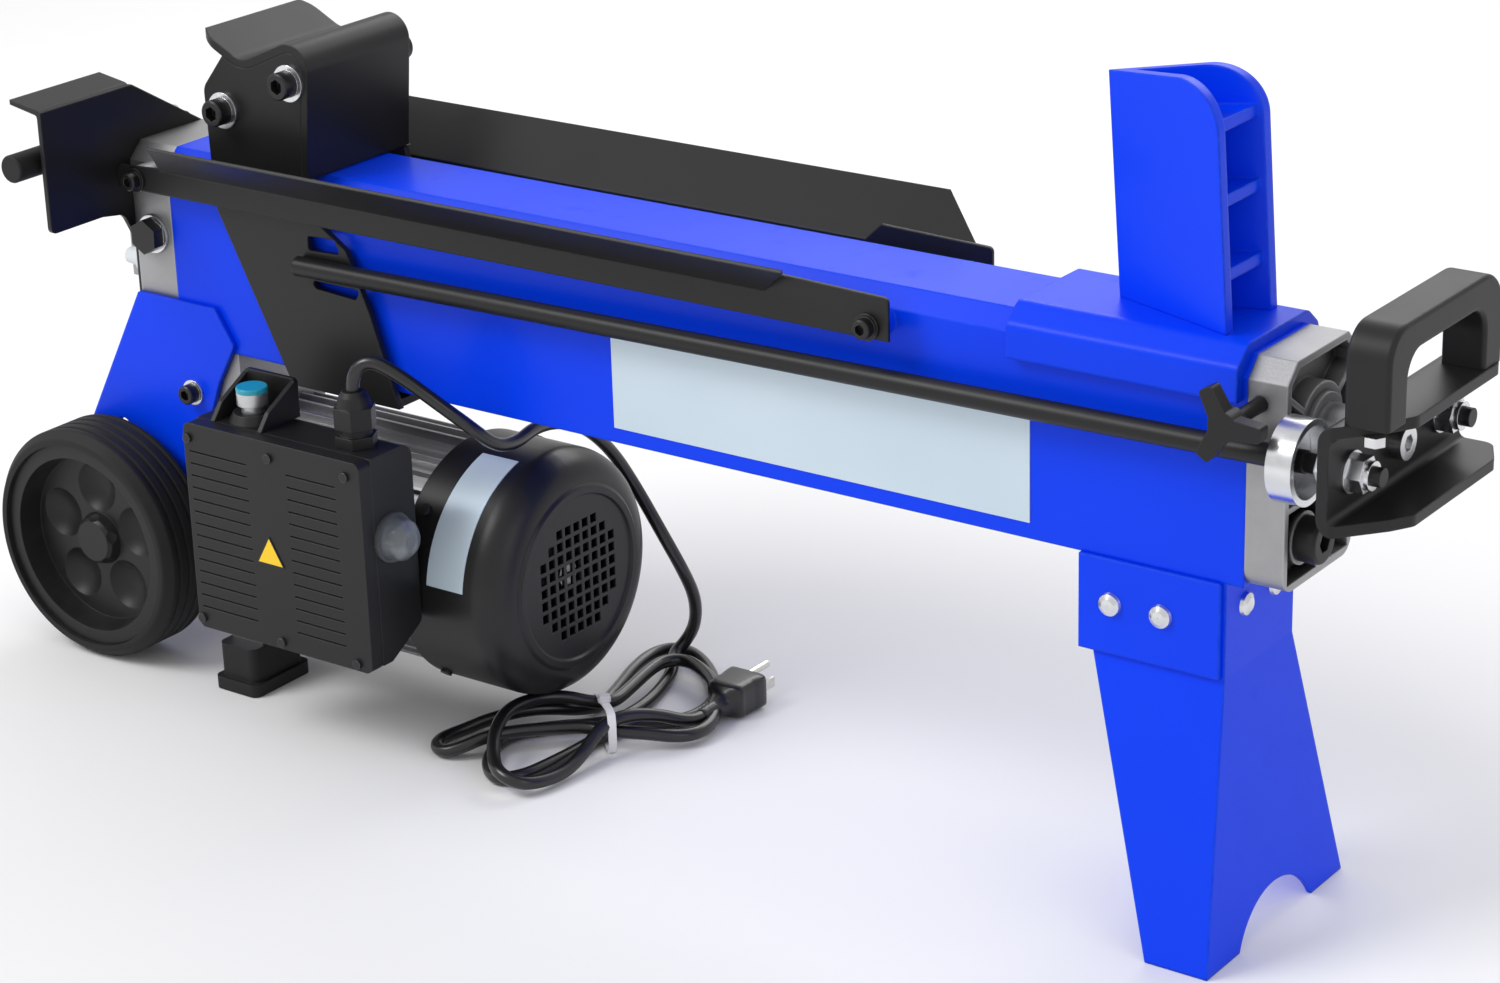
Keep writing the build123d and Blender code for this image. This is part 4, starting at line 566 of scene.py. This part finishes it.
def make_tie():
    """A flat white band drawn round the bundle, with its lock on top."""
    middle = hank_middle()
    across = TIE_LINE.cross(Vector((0, 0, 1)))
    section = bmesh.new()
    rings = []
    count = len(TIE_LOOP)
    centre = Vector((sum(t for t, z in TIE_LOOP), sum(z for t, z in TIE_LOOP))) / count
    for t, z in TIE_LOOP:
        out = (Vector((t, z)) - centre).normalized() * TIE_THICK
        corners = []
        for side, thick in ((-0.5, 0), (0.5, 0), (0.5, 1), (-0.5, 1)):
            along, up = t + out.x * thick, max(z + out.y * thick, TIE_ABOVE_FLOOR)
            offset = TIE_LINE * along + across * side * TIE_WIDTH + Vector((0, 0, up))
            corners.append(section.verts.new(middle + offset * MM))
        rings.append(corners)
    for i, ring in enumerate(rings):
        following = rings[(i + 1) % count]
        for k in range(4):
            section.faces.new((ring[k], ring[(k + 1) % 4], following[(k + 1) % 4], following[k]))
    lock = middle + (TIE_LINE * LOCK_ALONG + Vector((0, 0, LOCK_UP))) * MM
    turn = Matrix.Rotation(math.atan2(TIE_LINE.y, TIE_LINE.x), 4, "Z")
    size = Matrix.Diagonal((*(side * MM for side in LOCK_SIZE), 1))
    block = bmesh.ops.create_cube(section, size=1, matrix=Matrix.Translation(lock) @ turn @ size)
    edges = dict.fromkeys(edge for vert in block["verts"] for edge in vert.link_edges)
    bmesh.ops.bevel(section, geom=list(edges), offset=LOCK_EDGE * MM, segments=2, affect="EDGES")
    bmesh.ops.recalc_face_normals(section, faces=section.faces)
    mesh = bpy.data.meshes.new("hank_band")
    section.to_mesh(mesh)
    section.free()
    return new_piece("hank_band", mesh, "white_tie", "root", "cord_tie")


# The neck's ribs: how far apart they are, and the radius of the first, with what every second one
# adds to it and how fast all of them grow.
RIB_COUNT, RIB_STEP, RIB_RADIUS, RIB_HEIGHT, RIB_GROWTH = 7, 2, 4.2, 0.7, 0.12
NECK = [(RIB_STEP * k, RIB_RADIUS + RIB_HEIGHT * (k % 2) + RIB_GROWTH * k)
        for k in range(RIB_COUNT)]
# The plug's sections from the end of its neck: how far along, half its width, half its height, how
# far its middle is above the neck's, and how square it is, from 2 for an ellipse.
PLUG_SECTIONS = [
    *[(along, radius, radius, 0, 2) for along, radius in NECK],
    (14, 5.6, 5.6, 0, 2), (18, 6.8, 6.8, 0.2, 2.1), (21.4, 8.6, 8.2, 0.8, 2.4),
    (22.4, 11.2, 9.2, 1.6, 3.2), (24, 12.6, 10.3, 1.8, 4.5), (27, 13.0, 10.7, 1.8, 6),
    (29, 12.2, 10.7, 1.8, 6), (31, 13.1, 10.7, 1.8, 6), (33, 12.3, 10.7, 1.8, 6),
    (35, 13.3, 10.7, 1.8, 6), (37, 12.5, 10.7, 1.8, 6), (39, 13.5, 10.7, 1.8, 6),
    (45, 13.8, 10.7, 1.8, 7), (48, 13.9, 10.7, 1.8, 7), (49, 13.1, 9.9, 1.8, 6),
]
PLUG_NECK_UP = 9.4
RING_POINTS = 40


def make_plug():
    """The moulded plug: a ribbed neck that grips the cord, and a body with finger grooves."""
    low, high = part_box("plug")
    form = bmesh.new()
    rings = []
    for along, half_x, half_z, lift, square in PLUG_SECTIONS:
        ring = []
        for k in range(RING_POINTS):
            turn = 2 * math.pi * k / RING_POINTS
            c, s = math.cos(turn), math.sin(turn)
            x = math.copysign(abs(c) ** (2 / square), c) * half_x
            z = math.copysign(abs(s) ** (2 / square), s) * half_z
            ring.append(form.verts.new(((low.x + high.x) / 2 + x * MM, low.y + along * MM,
                                        (PLUG_NECK_UP + lift + z) * MM)))
        rings.append(ring)
    for first, second in zip(rings, rings[1:]):
        for k in range(RING_POINTS):
            after = (k + 1) % RING_POINTS
            form.faces.new((first[k], first[after], second[after], second[k]))
    form.faces.new(rings[0])
    form.faces.new(rings[-1])
    bmesh.ops.recalc_face_normals(form, faces=form.faces)
    mesh = bpy.data.meshes.new("mains_plug")
    form.to_mesh(mesh)
    form.free()
    return new_piece("mains_plug", mesh, "cord_rubber", "root", "plug", sharp=50.0)


# ---- stage ----------------------------------------------------------------------------------
SENSOR_WIDTH = 36.0
NEAREST, FARTHEST = 0.05, 30.0
FLOOR_REACH, FLOOR_DROP = 9.0, 0.0004
LAMPS_AT = (0.0, 0.0, 0.2)
# Each softbox: where it stands, and its width and height. Its power is a setting of the same name.
LAMPS = {
    "key": ((-1.6, -1.7, 2.4), (1.6, 1.2)),
    "fill": ((2.3, -0.6, 1.2), (1.2, 1.2)),
    "back": ((-0.4, 2.2, 1.8), (2.2, 0.8)),
}


def make_camera(settings):
    """Stands the camera back from its target, and leans it by its roll."""
    azimuth, elevation = settings.azimuth, settings.elevation
    back = Vector((math.sin(azimuth) * math.cos(elevation),
                   -math.cos(azimuth) * math.cos(elevation), math.sin(elevation)))
    right = Vector((math.cos(azimuth), math.sin(azimuth), 0))
    up = back.cross(right)
    turned_right = math.cos(settings.roll) * right + math.sin(settings.roll) * up
    turned_up = math.cos(settings.roll) * up - math.sin(settings.roll) * right
    data = bpy.data.cameras.new("studio_camera")
    camera = bpy.data.objects.new("studio_camera", data)
    bpy.context.scene.collection.objects.link(camera)
    place = Vector(settings.target) + back * settings.distance
    facing = Matrix((turned_right, turned_up, back)).transposed().to_4x4()
    camera.matrix_world = Matrix.Translation(place) @ facing
    data.sensor_width, data.lens = SENSOR_WIDTH, settings.lens
    data.shift_x, data.shift_y = settings.shift
    data.clip_start, data.clip_end = NEAREST, FARTHEST
    bpy.context.scene.camera = camera


def make_lamp(name, place, size, power):
    """A rectangular softbox that faces the machine."""
    data = bpy.data.lights.new(name, "AREA")
    data.shape = "RECTANGLE"
    data.size, data.size_y = size
    data.energy = power
    lamp = bpy.data.objects.new(name, data)
    bpy.context.scene.collection.objects.link(lamp)
    lamp.location = place
    aim = Vector(LAMPS_AT) - Vector(place)
    lamp.rotation_euler = aim.to_track_quat("-Z", "Y").to_euler()


def make_floor(settings):
    """A wide floor, a hair below the wheels."""
    mesh = bpy.data.meshes.new("studio_floor")
    sides = ((-1, -1), (1, -1), (1, 1), (-1, 1))
    corners = [(x * FLOOR_REACH, y * FLOOR_REACH, 0) for x, y in sides]
    mesh.from_pydata(corners, [], [(0, 1, 2, 3)])
    floor = bpy.data.objects.new("studio_floor", mesh)
    floor.location.z = -FLOOR_DROP
    bpy.context.scene.collection.objects.link(floor)
    mesh.materials.append(floor_paint(settings))


def make_sky(settings):
    """Even white light from all round."""
    world = bpy.data.worlds.new("studio")
    bpy.context.scene.world = world
    world.use_nodes = True
    shade = world.node_tree.nodes["Background"]
    shade.inputs["Color"].default_value = (1.0, 1.0, 1.0, 1.0)
    shade.inputs["Strength"].default_value = settings.world


class StageSettings(bpy.types.PropertyGroup):
    azimuth: bpy.props.FloatProperty(
        name="Azimuth", description="Camera's turn round the machine", default=math.radians(35.889),
        subtype="ANGLE")
    elevation: bpy.props.FloatProperty(
        name="Elevation", description="Camera's angle above the floor",
        default=math.radians(20.886), subtype="ANGLE")
    roll: bpy.props.FloatProperty(
        name="Roll", description="Camera's lean to one side", default=math.radians(-1.537),
        subtype="ANGLE")
    distance: bpy.props.FloatProperty(
        name="Distance", description="From the camera to its target", default=2.023, unit="LENGTH")
    target: bpy.props.FloatVectorProperty(
        name="Target", description="Point that the camera looks at",
        default=(0.0745, 0.016, 0.1981), subtype="TRANSLATION")
    lens: bpy.props.FloatProperty(
        name="Lens", description="Focal length in millimetres", default=86.88)
    shift: bpy.props.FloatVectorProperty(
        name="Shift", description="Lens shift", default=(-0.0195, -0.0184), size=2)
    world: bpy.props.FloatProperty(
        name="World", description="Strength of the light all round", default=0.74)
    key: bpy.props.FloatProperty(
        name="Key", description="Power of the main softbox", default=52.0, unit="POWER")
    fill: bpy.props.FloatProperty(
        name="Fill", description="Power of the side softbox", default=4.0, unit="POWER")
    back: bpy.props.FloatProperty(
        name="Back", description="Power of the rear softbox", default=22.0, unit="POWER")
    floor: bpy.props.FloatVectorProperty(
        name="Floor", description="Colour of the floor", default=(0.86, 0.86, 0.86),
        subtype="COLOR")


class FinishSettings(bpy.types.PropertyGroup):
    blue: bpy.props.FloatVectorProperty(
        name="Blue", description="Colour of the painted steel", default=(0.0, 0.050, 0.90),
        subtype="COLOR")
    black: bpy.props.FloatVectorProperty(
        name="Black", description="Colour of black paint and plastic",
        default=(0.007, 0.007, 0.0075), subtype="COLOR")


# ---- operators ------------------------------------------------------------------------------
class SPLITTER_OT_stage(bpy.types.Operator):
    """Set up the floor, the lights and the camera"""
    bl_idname = "splitter.stage"
    bl_label = "Stage"

    def execute(self, context):
        settings = context.scene.splitter_stage
        make_camera(settings)
        make_floor(settings)
        make_sky(settings)
        for name, (place, size) in LAMPS.items():
            make_lamp(name, place, size, getattr(settings, name))
        context.scene.view_settings.view_transform = "Standard"
        return {"FINISHED"}


class SPLITTER_OT_cord(bpy.types.Operator):
    """Lay the mains cord and its hank, with their tie and plug"""
    bl_idname = "splitter.cord"
    bl_label = "Cord"

    def execute(self, context):
        cord, tie, plug = make_cord(), make_tie(), make_plug()
        return {"FINISHED"}


class SPLITTER_OT_finishes(bpy.types.Operator):
    """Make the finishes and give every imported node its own"""
    bl_idname = "splitter.finishes"
    bl_label = "Finishes"

    def execute(self, context):
        make_finishes(context.scene.splitter_finish)
        slots = {s["node"]: s["material_slot"] for s in frame["record"]["subparts"]}
        for name, node in frame["nodes"].items():
            node.data.materials.clear()
            node.data.materials.append(FINISHES[OWN_FINISHES.get(name, slots[name])])
        return {"FINISHED"}


OPERATORS = [SPLITTER_OT_finishes, SPLITTER_OT_stage, SPLITTER_OT_cord]


class SPLITTER_PT_panel(bpy.types.Panel):
    """Lists the splitter's operators"""
    bl_label = "Log splitter"
    bl_idname = "SPLITTER_PT_panel"
    bl_space_type = "VIEW_3D"
    bl_region_type = "UI"
    bl_category = "Log splitter"

    def draw(self, context):
        for operator in OPERATORS:
            self.layout.operator(operator.bl_idname)


CLASSES = [StageSettings, FinishSettings, *OPERATORS, SPLITTER_PT_panel]


def register():
    for kind in CLASSES:
        bpy.utils.register_class(kind)
    bpy.types.Scene.splitter_stage = bpy.props.PointerProperty(type=StageSettings)
    bpy.types.Scene.splitter_finish = bpy.props.PointerProperty(type=FinishSettings)


def unregister():
    del bpy.types.Scene.splitter_finish
    del bpy.types.Scene.splitter_stage
    for kind in reversed(CLASSES):
        bpy.utils.unregister_class(kind)


def main():
    register()
    for operator in OPERATORS:
        group, name = operator.bl_idname.split(".")
        getattr(getattr(bpy.ops, group), name)()


if __name__ == "__main__":
    main()
